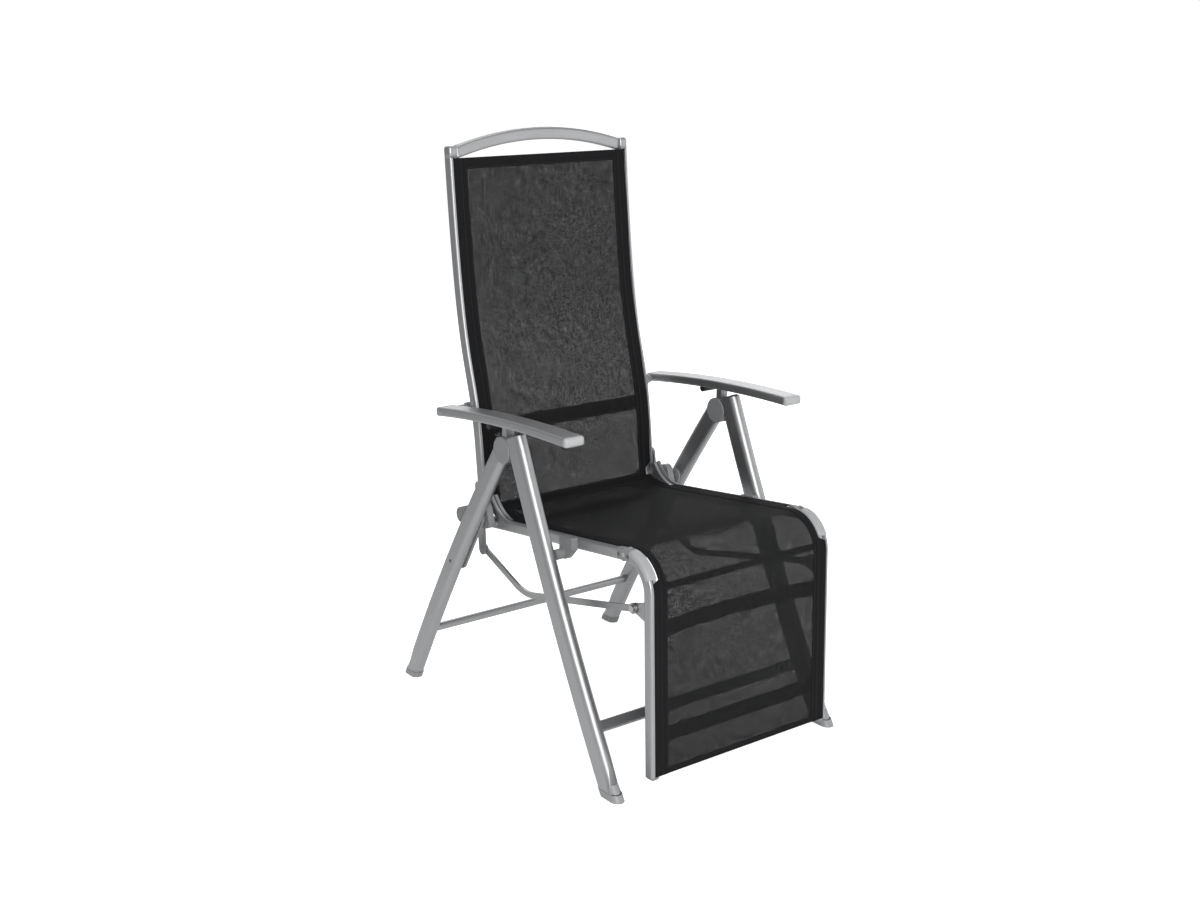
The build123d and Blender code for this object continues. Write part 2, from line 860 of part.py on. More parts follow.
def top_bow():
    """Arched head bar between the two back tubes."""
    at = back_path @ 0
    end_z = at.Z + bow_end_above
    half = rail_inner
    top_z = end_z + bow_rise
    turn_z = top_z - bow_flat_rise
    middle = ThreePointArc((at.X, -bow_flat_half, turn_z), (at.X, 0, top_z), (at.X, bow_flat_half, turn_z))
    left_arc = TangentArc(middle @ 0, (at.X, -half, end_z), tangent=(middle % 0) * -1)
    right_arc = TangentArc(middle @ 1, (at.X, half, end_z), tangent=middle % 1)
    path = Wire([left_arc, middle, right_arc])
    plane = Plane(origin=path @ 0, x_dir=(1, 0, 0), z_dir=path % 0)
    inner = Rectangle(bow_width - rail_round * 2, bow_depth - bar_wall * 2)
    section = RectangleRounded(bow_width, bow_depth, rail_round) - inner
    return sweep(plane * section, path=path) & Box(hinge_height * 2, half * 2, hinge_height * 4)


def back_bar():
    at = back_at(back_bar_height)
    spot = side(at.X - back_bar_set, at.Z)
    return cross_bar(spot, back_bar_depth, back_bar_width, rail_inner, pi / 2)


def back_sling():
    share = 1 - back_sling_low / back_path.length
    return swept(sling_section(sling_tuck), back_path.trim(0, share))


def back_lever():
    """Plate on a back tube's lower end: hinge hub above, push rod arm below."""
    pad_top = back_at(recline_pivot.Z + lever_pad_reach)
    outline = bar_outline(recline_pivot, lever_tip, lever_hub, lever_end)
    outline += bar_outline(recline_pivot, pad_top, lever_hub, lever_end)
    body = plate(outline, lever_inner, lever_outer)
    body += pin(pad_top, lever_end, rail_outer, lever_inner)
    body -= pin(recline_pivot, recline_pin_radius + pin_clear, rail_outer, lever_outer)
    return body - pin(lever_tip, rod_pin_radius, lever_inner, lever_outer)


def rod_rear_pin():
    return pin(lever_tip, rod_pin_radius, rod_inner, lever_outer)


def arm_lug():
    """Plate on a back tube that carries the armrest's bolt."""
    near = back_at(arm_pivot.Z)
    high = back_at(arm_pivot.Z + lug_foot_height * middle_share)
    low = back_at(arm_pivot.Z - lug_foot_height * middle_share)
    outline = disc(arm_pivot, lug_round)
    foot_points = [(high.X, high.Z), (arm_pivot.X, arm_pivot.Z + lug_round)]
    foot_points += [(arm_pivot.X, arm_pivot.Z - lug_round), (low.X, low.Z)]
    outline += make_face(Polyline(*foot_points, close=True))
    outline += disc(near, lug_foot_height * middle_share * middle_share)
    body = plate(outline, rail_outer, rail_outer + lug_width)
    return body - pin(arm_pivot, arm_bolt_radius + pin_clear, rail_outer, rail_outer + lug_width)


# Armrests

arm_path = ThreePointArc(
    side(arm_pivot.X - arm_rear + arm_cap_length, latch_height - arm_rear_below),
    side(arm_pivot.X + arm_length * middle_share, latch_height + arm_middle_above),
    side(arm_pivot.X + arm_length - arm_cap_length, latch_height + arm_front_above),
)


def arm_section():
    """Crowned channel, open below."""
    hollow = Pos(0, -arm_top_wall) * Rectangle(arm_width - arm_wall * 2, arm_depth)
    return RectangleRounded(arm_width, arm_depth, arm_round) - hollow


def arm_bolt_hole(part):
    return part - pin(arm_pivot, arm_bolt_radius, arm_inner - arm_wall, arm_outer + arm_wall)


def armrest():
    channel = moved_out(swept(arm_section(), arm_path), leg_centre)
    return arm_bolt_hole(channel)


def arm_cap(path_end, direction):
    """Rounded plastic end of an armrest, flush with the channel."""
    path = Line(path_end, path_end + direction * arm_cap_length)
    cap = swept(RectangleRounded(arm_width, arm_depth, arm_round), path)
    far = cap.faces().sort_by_distance(path @ 1)[0]
    cap = chamfer(far.edges(), arm_cap_round)
    return moved_out(cap, leg_centre)


def arm_front_cap():
    return arm_cap(arm_path @ 1, arm_path % 1)


def arm_rear_cap():
    cap = arm_cap(arm_path @ 0, (arm_path % 0) * -1)
    return cap - pin(arm_pivot, arm_bolt_radius, arm_inner, arm_outer)


def arm_bolt():
    """Bolt through the lug, the bush and the armrest, with a low head outside."""
    shaft = pin(arm_pivot, arm_bolt_radius, rail_outer, arm_outer)
    return shaft + dome(arm_pivot, arm_bolt_head, arm_bolt_dome, arm_outer, 1)


def arm_bush():
    """Spacer between the lug and the armrest."""
    inner = rail_outer + lug_width + bush_gap
    outer = arm_inner - bush_gap
    body = pin(arm_pivot, bush_radius, inner, outer)
    return body - pin(arm_pivot, arm_bolt_radius + pin_clear, inner, outer)


def latch_in_armrest(angle):
    """Place of the latch pin in the armrest's own directions, as the back reclines."""
    pivot = turned(arm_pivot, recline_pivot, angle)
    local = side(latch.X - pivot.X + arm_pivot.X, latch.Z - pivot.Z + arm_pivot.Z)
    return turned(local, arm_pivot, -level_share * angle)


def arm_height(x):
    """Height of the armrest's centre line."""
    low = 0
    high = 1
    for _ in range(20):
        mid = (low + high) / 2
        if (arm_path @ mid).X < x:
            low = mid
        else:
            high = mid
    return (arm_path @ low).Z


def arm_rack():
    """Notched rack inside the armrest, cut to the path that the latch pin takes."""
    steps = int(recline_deg / rack_pitch_deg)
    lift = latch_radius + rack_clear
    floor = -arm_depth / 2 + rack_clear
    lower = []
    first = latch_in_armrest(0)
    for run in (rack_rear_run, latch_radius + rack_clear):
        x = first.X - run
        lower.append((x, max(first.Z + lift - run * middle_share, arm_height(x) + floor)))
    for i in range(steps + 1):
        spot = latch_in_armrest(i * rack_pitch_deg)
        ceiling = arm_height(spot.X) + arm_depth / 2 - arm_top_wall - rack_tooth * middle_share
        tip = max(spot.Z + lift, arm_height(spot.X) + floor)
        root = min(tip + rack_tooth, ceiling)
        lower.append((spot.X - latch_radius, root))
        lower.append((spot.X + latch_radius, root))
        if i < steps:
            later = latch_in_armrest((i + 1) * rack_pitch_deg)
            x = (spot.X + later.X) / 2
            z = (spot.Z + later.Z) / 2
            lower.append((x, max(z + lift, arm_height(x) + floor)))
    last = lower[-1][0] + rack_front_run
    lower.append((last, arm_height(last) + floor))
    upper = []
    count = steps * 2
    for i in range(count + 1):
        x = last + (lower[0][0] - last) * i / count
        upper.append((x, arm_height(x) + arm_depth / 2 - arm_top_wall - rack_clear * middle_share))
    outline = make_face(Polyline(*lower, *upper, close=True))
    bump_x = first.X - rack_bump_behind
    bump_z = arm_height(bump_x) - arm_depth / 2 - rack_bump_drop
    outline += disc(side(bump_x, bump_z), rack_bump_radius)
    half = rack_width / 2
    return plate(outline, leg_centre - half, leg_centre + half)


# All the pieces


def pair(make):
    """Left and right solids of one node."""
    left = make()
    return Compound(children=[left, right_of(left)])


def out_pair(make):
    """Left and right solids of one node, alike on both sides of the leg's own plane."""
    piece = make()
    return Compound(children=[moved_out(piece, leg_centre), moved_out(piece, -leg_centre)])


def write(name, part):
    export_step(part, os.path.join("parts", name + ".step"))


def write_sides(name, part):
    """Left and right pieces as two nodes."""
    write(name + "_left", part)
    write(name + "_right", right_of(part))


def main():
    os.makedirs("parts", exist_ok=True)
    write("front_legs", out_pair(front_leg))
    write("leg_heads", out_pair(leg_head))
    write("front_feet", out_pair(lambda: foot(front_path, front_depth, front_width)))
    front_at = front_axis(front_bar_height)
    front_lean = leg_lean(front_axis, front_bar_height)
    write("front_crossbar", cross_bar(front_at, front_bar_depth, bar_width, front_inner, front_lean))
    write("latch_pins", out_pair(latch_pin))
    write("knuckle_pins", out_pair(knuckle_pin))
    write("seat_studs", pair(seat_stud))
    write("rear_legs", out_pair(rear_leg))
    write("knuckle_discs", out_pair(knuckle_disc))
    write("rear_feet", out_pair(lambda: foot(rear_path, rear_depth, rear_width)))
    rear_at = rear_axis(rear_bar_height)
    rear_lean = leg_lean(rear_axis, rear_bar_height)
    write("rear_crossbar", cross_bar(rear_at, rear_bar_depth, bar_width, hook_outer, rear_lean))
    write("hook_brackets", pair(hook_bracket))
    write("hook_rivets", pair(hook_rivet))
    write_sides("seat_rail", seat_rail())
    write("rail_end_caps", pair(rail_end_cap))
    write("knee_tongues", pair(knee_tongue_block))
    write("knee_rivets_rear", pair(knee_rivet_rear))
    write("seat_clamps", pair(seat_clamp))
    bars = [seat_bar(seat_rear_bar_along), seat_bar(seat_front_bar_along)]
    write("seat_crossbars", Compound(children=bars))
    write("seat_housings", pair(seat_housing))
    write("hook_pins", pair(hook_pin))
    write("recline_pins", pair(recline_pin))
    write("seat_sling", seat_sling())
    write_sides("footrest_tube", footrest_tube())
    write("knee_forks", pair(knee_fork_block))
    write("knee_pins", pair(knee_pin))
    write("knee_rivets_front", pair(knee_rivet_front))
    write("footrest_lower_bar", footrest_lower_bar())
    write("footrest_top_bar", footrest_top_bar())
    write("footrest_upper_bar", footrest_upper_bar())
    write("footrest_caps", pair(footrest_cap))
    write("corner_guards", pair(corner_guard))
    write("rod_brackets", pair(rod_bracket))
    write("rod_front_pins", pair(rod_front_pin))
    write("footrest_sling", footrest_sling())
    write_sides("push_rod", push_rod())
    write_sides("back_tube", back_tube())
    write("back_caps", pair(back_cap))
    write("top_bow", top_bow())
    write("back_crossbar", back_bar())
    write("back_sling", back_sling())
    write("back_levers", pair(back_lever))
    write("rod_rear_pins", pair(rod_rear_pin))
    write("arm_lugs", pair(arm_lug))
    write_sides("arm_bush", arm_bush())
    write_sides("armrest", armrest())
    write_sides("arm_front_cap", arm_front_cap())
    write_sides("arm_rear_cap", arm_rear_cap())
    write_sides("arm_bolt", arm_bolt())
    write_sides("arm_rack", arm_rack())


if __name__ == "__main__":
    main()
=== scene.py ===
"""Reclining garden armchair with a linked footrest, dressed for a product picture.

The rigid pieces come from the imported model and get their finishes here. The woven slings,
their hems and seams, and the rounded trim are surfaces worked out with numpy.
Lengths are metres, X points to the front, Y to the sitter's left and Z up.
"""

import json
import logging
import math
from dataclasses import dataclass
from enum import Enum
from typing import Optional, Sequence

import bpy
import numpy as np
from mathutils import Matrix, Vector

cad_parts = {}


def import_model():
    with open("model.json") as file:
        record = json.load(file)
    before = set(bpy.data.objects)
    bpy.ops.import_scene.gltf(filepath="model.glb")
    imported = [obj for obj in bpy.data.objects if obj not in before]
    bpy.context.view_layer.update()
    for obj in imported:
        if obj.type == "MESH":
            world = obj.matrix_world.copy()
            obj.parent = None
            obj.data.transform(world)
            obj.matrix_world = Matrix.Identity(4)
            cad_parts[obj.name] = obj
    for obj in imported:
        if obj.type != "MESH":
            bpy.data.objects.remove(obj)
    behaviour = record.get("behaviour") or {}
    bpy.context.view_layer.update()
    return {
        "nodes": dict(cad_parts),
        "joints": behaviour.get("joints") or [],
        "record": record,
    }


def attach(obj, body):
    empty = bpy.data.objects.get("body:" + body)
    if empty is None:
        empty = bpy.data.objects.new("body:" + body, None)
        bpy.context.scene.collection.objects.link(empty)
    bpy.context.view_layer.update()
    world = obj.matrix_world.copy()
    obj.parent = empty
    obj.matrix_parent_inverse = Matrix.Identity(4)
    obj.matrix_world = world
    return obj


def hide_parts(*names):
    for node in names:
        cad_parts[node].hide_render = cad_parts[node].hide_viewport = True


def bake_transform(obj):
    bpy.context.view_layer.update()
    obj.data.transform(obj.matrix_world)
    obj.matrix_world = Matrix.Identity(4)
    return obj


LOG = logging.getLogger("armchair")
NUMBER = "NodeSocketFloat"
WHITE = (1.0, 1.0, 1.0, 1.0)
QUARTER_TURN = np.pi / 2
LAST_RING = 0.96  # share of a round end at which its last ring stands
HEM_TOP = 1.05  # height of a hem's middle, where its shoulders stand at 1
RAIL_RISE_DEG = 6.84  # slope of the seat's rails
SHIN_LEAN_DEG = 1.9  # lean of the footrest's tubes
KNEE_RADIUS = 0.0615  # bend of their centre lines below the knee hinge
TUBE = (0.019, 0.023)  # width and depth of a tube
TUBE_CORNER = 0.0055  # radius of a tube's long edges
TUBE_CENTRE = 0.210  # distance of the tubes from the chair's middle
BED_HALF = 0.2114  # half width of the fabrics in the tubes' beds

Array = np.ndarray
Pair = tuple[float, float]
Triple = tuple[float, float, float]
Node = bpy.types.Node
Socket = bpy.types.NodeSocket
Piece = bpy.types.Object


class Body(Enum):
    """Rigid groups of the chair that carry new pieces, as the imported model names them."""

    SEAT = "seat_frame"
    REST = "footrest"
    BACK = "backrest"


class Side(Enum):
    """Sitter's left and right, with the sign of Y."""

    LEFT = 1
    RIGHT = -1

    @property
    def tag(self) -> str:
        """The side as piece names end."""
        return self.name.lower()


# Nodes


class NodeBoard:
    """Shorthand for building one node tree."""

    def __init__(self, tree: bpy.types.NodeTree) -> None:
        """Keeps the tree that the nodes go into."""
        self.tree = tree

    def feed(self, node: Node, key: object, value: object) -> None:
        """Gives an input its constant, or links the socket that brings its value.

        Args:
            node: the node.
            key: name or place of its input.
            value: the constant or the socket.
        """
        if isinstance(value, Socket):
            self.tree.links.new(value, node.inputs[key])
        else:
            node.inputs[key].default_value = value

    def node(self, kind: str, inputs: Optional[dict] = None, **settings: object) -> Node:
        """Adds a node.

        Args:
            kind: type of the node, such as ShaderNodeMath.
            inputs: constants or sockets for its inputs.
            settings: properties to set on it.

        Returns:
            The new node.
        """
        made = self.tree.nodes.new(kind)
        for key, value in settings.items():
            setattr(made, key, value)
        for key, value in (inputs or {}).items():
            self.feed(made, key, value)
        return made

    def math(self, operation: str, a: object, b: object = 0.0) -> Socket:
        """Result of a Math node on two numbers or sockets."""
        return self.node("ShaderNodeMath", {0: a, 1: b}, operation=operation).outputs[0]

    def product(self, first: object, *others: object) -> Socket:
        """Multiplies numbers or sockets.

        Args:
            first: the first factor.
            others: the other factors.

        Returns:
            The product's socket.
        """
        for other in others:
            first = self.math("MULTIPLY", first, other)
        return first

    def around(self, mean: float, change: Socket, share: float) -> Socket:
        """A number with a share of a changing value on top."""
        return self.math("ADD", self.product(change, share), mean)

    def coordinate(self, name: str) -> Socket:
        """Output of a Texture Coordinate node."""
        return self.node("ShaderNodeTexCoord").outputs[name]

    def pointiness(self) -> Socket:
        """How far an edge stands out: over one half on ridges, under it in hollows."""
        return self.node("ShaderNodeNewGeometry").outputs["Pointiness"]

    def noise(self, place: Socket, scale: object, detail: float, **settings: object) -> Socket:
        """Value of a noise texture at a place, with so many layers of finer noise."""
        inputs = {"Vector": place, "Scale": scale, "Detail": detail}
        return self.node("ShaderNodeTexNoise", inputs, **settings).outputs["Fac"]

    def ramp(
        self, value: object, start: object, end: object, low: object = 0.0, high: object = 1.0
    ) -> Socket:
        """Goes from low to high while a value goes from start to end."""
        fed = {"Value": value, "From Min": start, "From Max": end, "To Min": low, "To Max": high}
        return self.node("ShaderNodeMapRange", fed, clamp=True).outputs["Result"]

    def mixed(self, low: Sequence[float], high: Sequence[float], mask: Socket) -> Socket:
        """Colour that goes from low to high with a mask."""
        inputs = {0: mask, 6: (*low, 1.0), 7: (*high, 1.0)}
        return self.node("ShaderNodeMix", inputs, data_type="RGBA").outputs[2]

    def bump(self, height: Socket, strength: float, depth: float) -> Socket:
        """Normal of a surface with a relief, whose depth is in metres."""
        inputs = {"Strength": strength, "Distance": depth, "Height": height}
        return self.node("ShaderNodeBump", inputs).outputs["Normal"]

    def effect(self, group: bpy.types.NodeTree, **values: float) -> bpy.types.NodeOutputs:
        """Outputs of a shared effect, placed with its own values."""
        return self.node("ShaderNodeGroup", values, node_tree=group).outputs


class Effects:
    """Shader node groups that several finishes share.

    Attributes:
        YARN_STEP: how far the upper yarn of a crossing stands over the lower one.
        STREAKS: stretch of the noise along the weft and along the warp.
        LOOSENESS: how much the holes' size changes from streak to streak.
    """

    YARN_STEP = 0.22
    STREAKS = ((60.0, 300.0, 1.0), (280.0, 46.0, 1.0))
    LOOSENESS = 2.2

    def __init__(self) -> None:
        """Builds each group once."""
        self.grain = self._grain_group()
        self.wear = self._wear_group()
        self.dust = self._dust_group()
        self.weave = self._weave_group()

    @staticmethod
    def _open(name: str, **inputs: float) -> tuple[NodeBoard, bpy.types.NodeOutputs]:
        """Starts a node group.

        Args:
            name: name of the group.
            inputs: name and default of each number input.

        Returns:
            The group's board, and the sockets that bring its inputs.
        """
        group = bpy.data.node_groups.new(name, "ShaderNodeTree")
        for label, value in inputs.items():
            made = group.interface.new_socket(name=label, in_out="INPUT", socket_type=NUMBER)
            made.default_value = value
        board = NodeBoard(group)
        return board, board.node("NodeGroupInput").outputs

    @staticmethod
    def _close(board: NodeBoard, **outputs: Socket) -> bpy.types.NodeTree:
        """Gives a node group its number outputs.

        Args:
            board: the group's board.
            outputs: name and socket of each output.

        Returns:
            The group.
        """
        for label in outputs:
            board.tree.interface.new_socket(name=label, in_out="OUTPUT", socket_type=NUMBER)
        board.node("NodeGroupOutput", outputs)
        return board.tree

    def _grain_group(self) -> bpy.types.NodeTree:
        """Noise in Object coordinates: fine as a height, and broad as a change around zero.

        Returns:
            The group.
        """
        board, given = self._open("surface_grain", Scale=900.0, Amount=1.0)
        place = board.coordinate("Object")
        fine = board.noise(place, given["Scale"], 3.0)
        broad = board.math("SUBTRACT", board.noise(place, 14.0, 4.0), 0.5)
        height = board.product(fine, given["Amount"])
        return self._close(board, Height=height, Value=board.product(broad, given["Amount"]))

    def _wear_group(self) -> bpy.types.NodeTree:
        """Mask of rubbed edges, from the surface's pointiness broken up by noise.

        Returns:
            The group.
        """
        board, given = self._open("edge_wear", Amount=0.5, Scale=60.0)
        edges = board.ramp(board.pointiness(), 0.52, 0.62)
        patches = board.noise(board.coordinate("Object"), given["Scale"], 5.0)
        return self._close(board, Mask=board.product(edges, patches, given["Amount"]))

    def _dust_group(self) -> bpy.types.NodeTree:
        """Mask of pale dust in hollows, from pointiness below the middle value.

        Returns:
            The group.
        """
        board, given = self._open("hollow_dust", Amount=0.5)
        hollows = board.ramp(board.pointiness(), 0.49, 0.40)
        return self._close(board, Mask=board.product(hollows, given["Amount"]))

    def _weave_group(self) -> bpy.types.NodeTree:
        """Plain weave on the UV map, in metres.

        The warp is a row of half round yarns across U, and the weft the same across V. Which one
        lies on top changes from crossing to crossing like a chess board. The hole is where both
        yarns are low. How low follows the distance along the sheet, and streaks of noise.

        Returns:
            The group.
        """
        board, given = self._open(
            "sling_weave", Pitch=0.0014, Open=0.3, Close=0.3, From=0.0, To=0.001
        )
        place = board.coordinate("UV")
        split = board.node("ShaderNodeSeparateXYZ", {"Vector": place}).outputs
        turns = board.math("DIVIDE", math.pi, given["Pitch"])
        across = board.product(split["X"], turns)
        along = board.product(split["Y"], turns)
        warp = board.math("ABSOLUTE", board.math("SINE", across))
        weft = board.math("ABSOLUTE", board.math("SINE", along))
        chess = board.product(board.math("COSINE", across), board.math("COSINE", along))
        over = board.product(board.math("SIGN", chess), self.YARN_STEP)
        height = board.math(
            "MAXIMUM", board.math("ADD", warp, over), board.math("SUBTRACT", weft, over)
        )
        flat, steep = (self._streaks(board, place, scale) for scale in self.STREAKS)
        tone = board.product(board.math("ADD", flat, steep), 0.5)
        # Closer holes over the seat's stretch are partly painted shade: less of what lies behind
        # shows through, standing in for the dark under the seat as well as for yarns hiding the
        # holes at a slant view.
        reach = board.ramp(split["Y"], given["From"], given["To"], given["Close"], given["Open"])
        loose = board.product(board.math("SUBTRACT", tone, 0.5), self.LOOSENESS)
        share = board.product(reach, board.math("ADD", loose, 1.0))
        cover = board.math("GREATER_THAN", board.math("MAXIMUM", warp, weft), share)
        return self._close(board, Height=height, Cover=cover, Tone=tone)

    @staticmethod
    def _streaks(board: NodeBoard, place: Socket, scale: Triple) -> Socket:
        """Noise on the UV map, drawn out along the yarns that run one way.

        Args:
            board: board of the group.
            place: the UV map's socket.
            scale: how fine it is across U and across V.

        Returns:
            The noise's socket.
        """
        stretch = board.node("ShaderNodeMapping", {"Vector": place, "Scale": scale})
        return board.noise(stretch.outputs["Vector"], 1.0, 3.0, noise_dimensions="2D")


# Finishes


@dataclass(frozen=True)
class GrainFinish:
    """Finish with a fine grain, and paler where a mask says so.

    Attributes:
        name: name of the material.
        color: colour of the surface, linear red, green and blue.
        roughness: mean roughness.
        rough_change: how much the roughness changes over the surface.
        grain: strength of the fine grain in the surface.
        grain_scale: how fine that grain is.
        grain_depth: its depth in metres.
        pale_gain: how much lighter the mask makes the colour.
        pale_lift: what the mask adds to it besides.
    """

    name: str
    color: Triple
    roughness: float = 0.48
    rough_change: float = 0.15
    grain: float = 0.12
    grain_scale: float = 1900.0
    grain_depth: float = 0.0003
    pale_gain: float = 1.5
    pale_lift: float = 0.05

    def grained(self, board: NodeBoard, effects: Effects, mask: Socket) -> dict[str, object]:
        """Grain in the roughness and the bump, and the paler colour under the mask.

        Args:
            board: board of the material.
            effects: the shared node groups.
            mask: where the surface is paler.

        Returns:
            What goes into the Principled shader's inputs.
        """
        grain = board.effect(effects.grain, Scale=self.grain_scale, Amount=1.0)
        pale = [min(1.0, part * self.pale_gain + self.pale_lift) for part in self.color]
        return {
            "Base Color": board.mixed(self.color, pale, mask),
            "Roughness": board.around(self.roughness, grain["Value"], self.rough_change),
            "Normal": board.bump(grain["Height"], self.grain, self.grain_depth),
        }


@dataclass(frozen=True)
class MetalFinish(GrainFinish):
    """Satin silver coating on aluminium, or bare steel, with rubbed edges.

    Attributes:
        metallic: share of metal in the shine.
        wear: strength of the lighter, rubbed edges.
        wear_scale: how finely they are broken up.
    """

    rough_change: float = 0.12
    grain: float = 0.05
    grain_scale: float = 1400.0
    grain_depth: float = 0.0002
    pale_gain: float = 1.25
    pale_lift: float = 0.0
    metallic: float = 0.9
    wear: float = 0.3
    wear_scale: float = 90.0

    def inputs(self, board: NodeBoard, effects: Effects) -> dict[str, object]:
        """What goes into the Principled shader's inputs: grain, and paler rubbed edges."""
        wear = board.effect(effects.wear, Amount=self.wear, Scale=self.wear_scale)
        return {"Metallic": self.metallic, **self.grained(board, effects, wear["Mask"])}


@dataclass(frozen=True)
class PlasticFinish(GrainFinish):
    """Moulded plastic with a fine texture and a little dust in its hollows.

    Attributes:
        shine: how strongly it mirrors.
        dust: strength of the pale dust.
    """

    shine: float = 0.45
    dust: float = 0.15

    def inputs(self, board: NodeBoard, effects: Effects) -> dict[str, object]:
        """What goes into the Principled shader's inputs: fine texture, and pale dust."""
        dust = board.effect(effects.dust, Amount=self.dust)
        return {"Specular IOR Level": self.shine, **self.grained(board, effects, dust["Mask"])}


@dataclass(frozen=True)
class MeshFinish:
    """Woven coated yarn.

    Attributes:
        name: name of the material.
        color: colour of the yarn, linear red, green and blue.
        open_share: how far the holes between the yarns let light through, under 0 for none.
        close_share: the same over the seat's stretch, where the closer holes stand partly for
            yarns hiding the holes at a slant view and partly for painted shade under the seat.
        close_run: distances along the sheet between which the first takes over from the second.
        pitch: distance from yarn to yarn in metres.
        roughness: least roughness of the yarn.
        rough_change: how much the roughness changes from streak to streak.
        shine: how strongly the yarn mirrors.
        pale_gain: how much lighter the palest streak is.
        relief: strength of the yarns' relief.
        relief_share: its depth over the pitch.
    """

    name: str
    color: Triple
    open_share: float
    close_share: float
    close_run: Pair = (0.0, 0.001)
    pitch: float = 0.0014
    roughness: float = 0.7
    rough_change: float = 0.12
    shine: float = 0.1
    pale_gain: float = 2.6
    relief: float = 0.6
    relief_share: float = 0.3

    def inputs(self, board: NodeBoard, effects: Effects) -> dict[str, object]:
        """Woven yarn with open holes, on the piece's UV map in metres.

        Args:
            board: board of the material.
            effects: the shared node groups.

        Returns:
            What goes into the Principled shader's inputs.
        """
        shares = {"Open": self.open_share, "Close": self.close_share}
        reach = {"From": self.close_run[0], "To": self.close_run[1]}
        weave = board.effect(effects.weave, Pitch=self.pitch, **shares, **reach)
        pale = [part * self.pale_gain for part in self.color]
        fed = {
            "Specular IOR Level": self.shine,
            "Base Color": board.mixed(self.color, pale, weave["Tone"]),
            "Roughness": board.around(self.roughness, weave["Tone"], self.rough_change),
            "Normal": board.bump(weave["Height"], self.relief, self.pitch * self.relief_share),
        }
        if self.open_share > 0.0:
            fed["Alpha"] = weave["Cover"]
        return fed


SILVER = MetalFinish("silver_coating", (0.335, 0.338, 0.348), 0.43)
ROD_SILVER = MetalFinish("rod_silver", (0.30, 0.303, 0.31), 0.4)
STEEL = MetalFinish("zinc_steel", (0.42, 0.42, 0.41), 0.3, metallic=1.0)
RIVET = MetalFinish("rivet_steel", (0.10, 0.10, 0.10), 0.38)
FOOT = PlasticFinish("foot_plastic", (0.25, 0.253, 0.26), 0.4)
GREY = PlasticFinish("mid_grey_plastic", (0.19, 0.193, 0.2))
PALE = PlasticFinish("pale_grey_plastic", (0.30, 0.303, 0.312), 0.4)
NOSE = PlasticFinish("nose_plastic", (0.36, 0.364, 0.37), 0.32)
DARK = PlasticFinish("black_plastic", (0.012, 0.012, 0.013), 0.5)
THREAD = PlasticFinish("sewing_thread", (0.008, 0.008, 0.009), 0.65)
# The seat's stretch before the knee has closer holes: partly yarns hiding the holes at a slant
# view, partly painted shade under the seat.
SLING = MeshFinish("sling_mesh", (0.0045, 0.0046, 0.0048), 0.25, 0.1, (0.445, 0.478))
SLING_BACK = MeshFinish("back_mesh", (0.0042, 0.0043, 0.0045), 0.28, 0.28)
HEM = MeshFinish("hem_mesh", (0.004, 0.004, 0.0045), -1.0, -1.0)
Finish = MetalFinish | PlasticFinish | MeshFinish


class Paintshop:
    """Makes the chair's materials and puts them on its pieces."""

    def __init__(self) -> None:
        """Builds the shared effects and an empty shelf of materials."""
        self.effects = Effects()
        self.shelf: dict[str, bpy.types.Material] = {}

    def material(self, finish: Finish) -> bpy.types.Material:
        """Material of a finish, made at its first use.

        Args:
            finish: the finish.

        Returns:
            The material.
        """
        if finish.name not in self.shelf:
            made = bpy.data.materials.new(finish.name)
            made.use_nodes = True
            board = NodeBoard(made.node_tree)
            shader = made.node_tree.nodes["Principled BSDF"]
            for key, value in finish.inputs(board, self.effects).items():
                board.feed(shader, key, value)
            self.shelf[finish.name] = made
        return self.shelf[finish.name]

    def paint(self, piece: Piece, finish: Finish) -> None:
        """Puts one finish on a whole piece.

        Args:
            piece: the piece.
            finish: its finish.
        """
        material = self.material(finish)
        if not piece.data.materials:
            piece.data.materials.append(material)
        for slot in piece.material_slots:
            slot.material = material


# Surfaces


def in_space(flat: Array, side: object) -> Array:
    """Points from X and Z in an array's last axis, and their Y."""
    x = flat[..., 0]
    return np.stack([x, np.broadcast_to(side, x.shape), flat[..., 1]], axis=-1)


def metre_map(across: Array, along: Array) -> Array:
    """UV map in metres, from places across a piece and distances along it."""
    return np.stack([across, np.broadcast_to(along, across.shape)], axis=-1)


def smooth(share: Array) -> Array:
    """Smooth step from 0 to 1: a share's square times three less twice the share."""
    share = np.clip(share, 0.0, 1.0)
    return share * share * (3.0 - 2.0 * share)


def sloped(degrees: float) -> tuple[Array, Array]:
    """Unit vectors ahead and up on a slope in the side view."""
    ahead = np.array([math.cos(math.radians(degrees)), math.sin(math.radians(degrees))])
    return ahead, np.array([-ahead[1], ahead[0]])


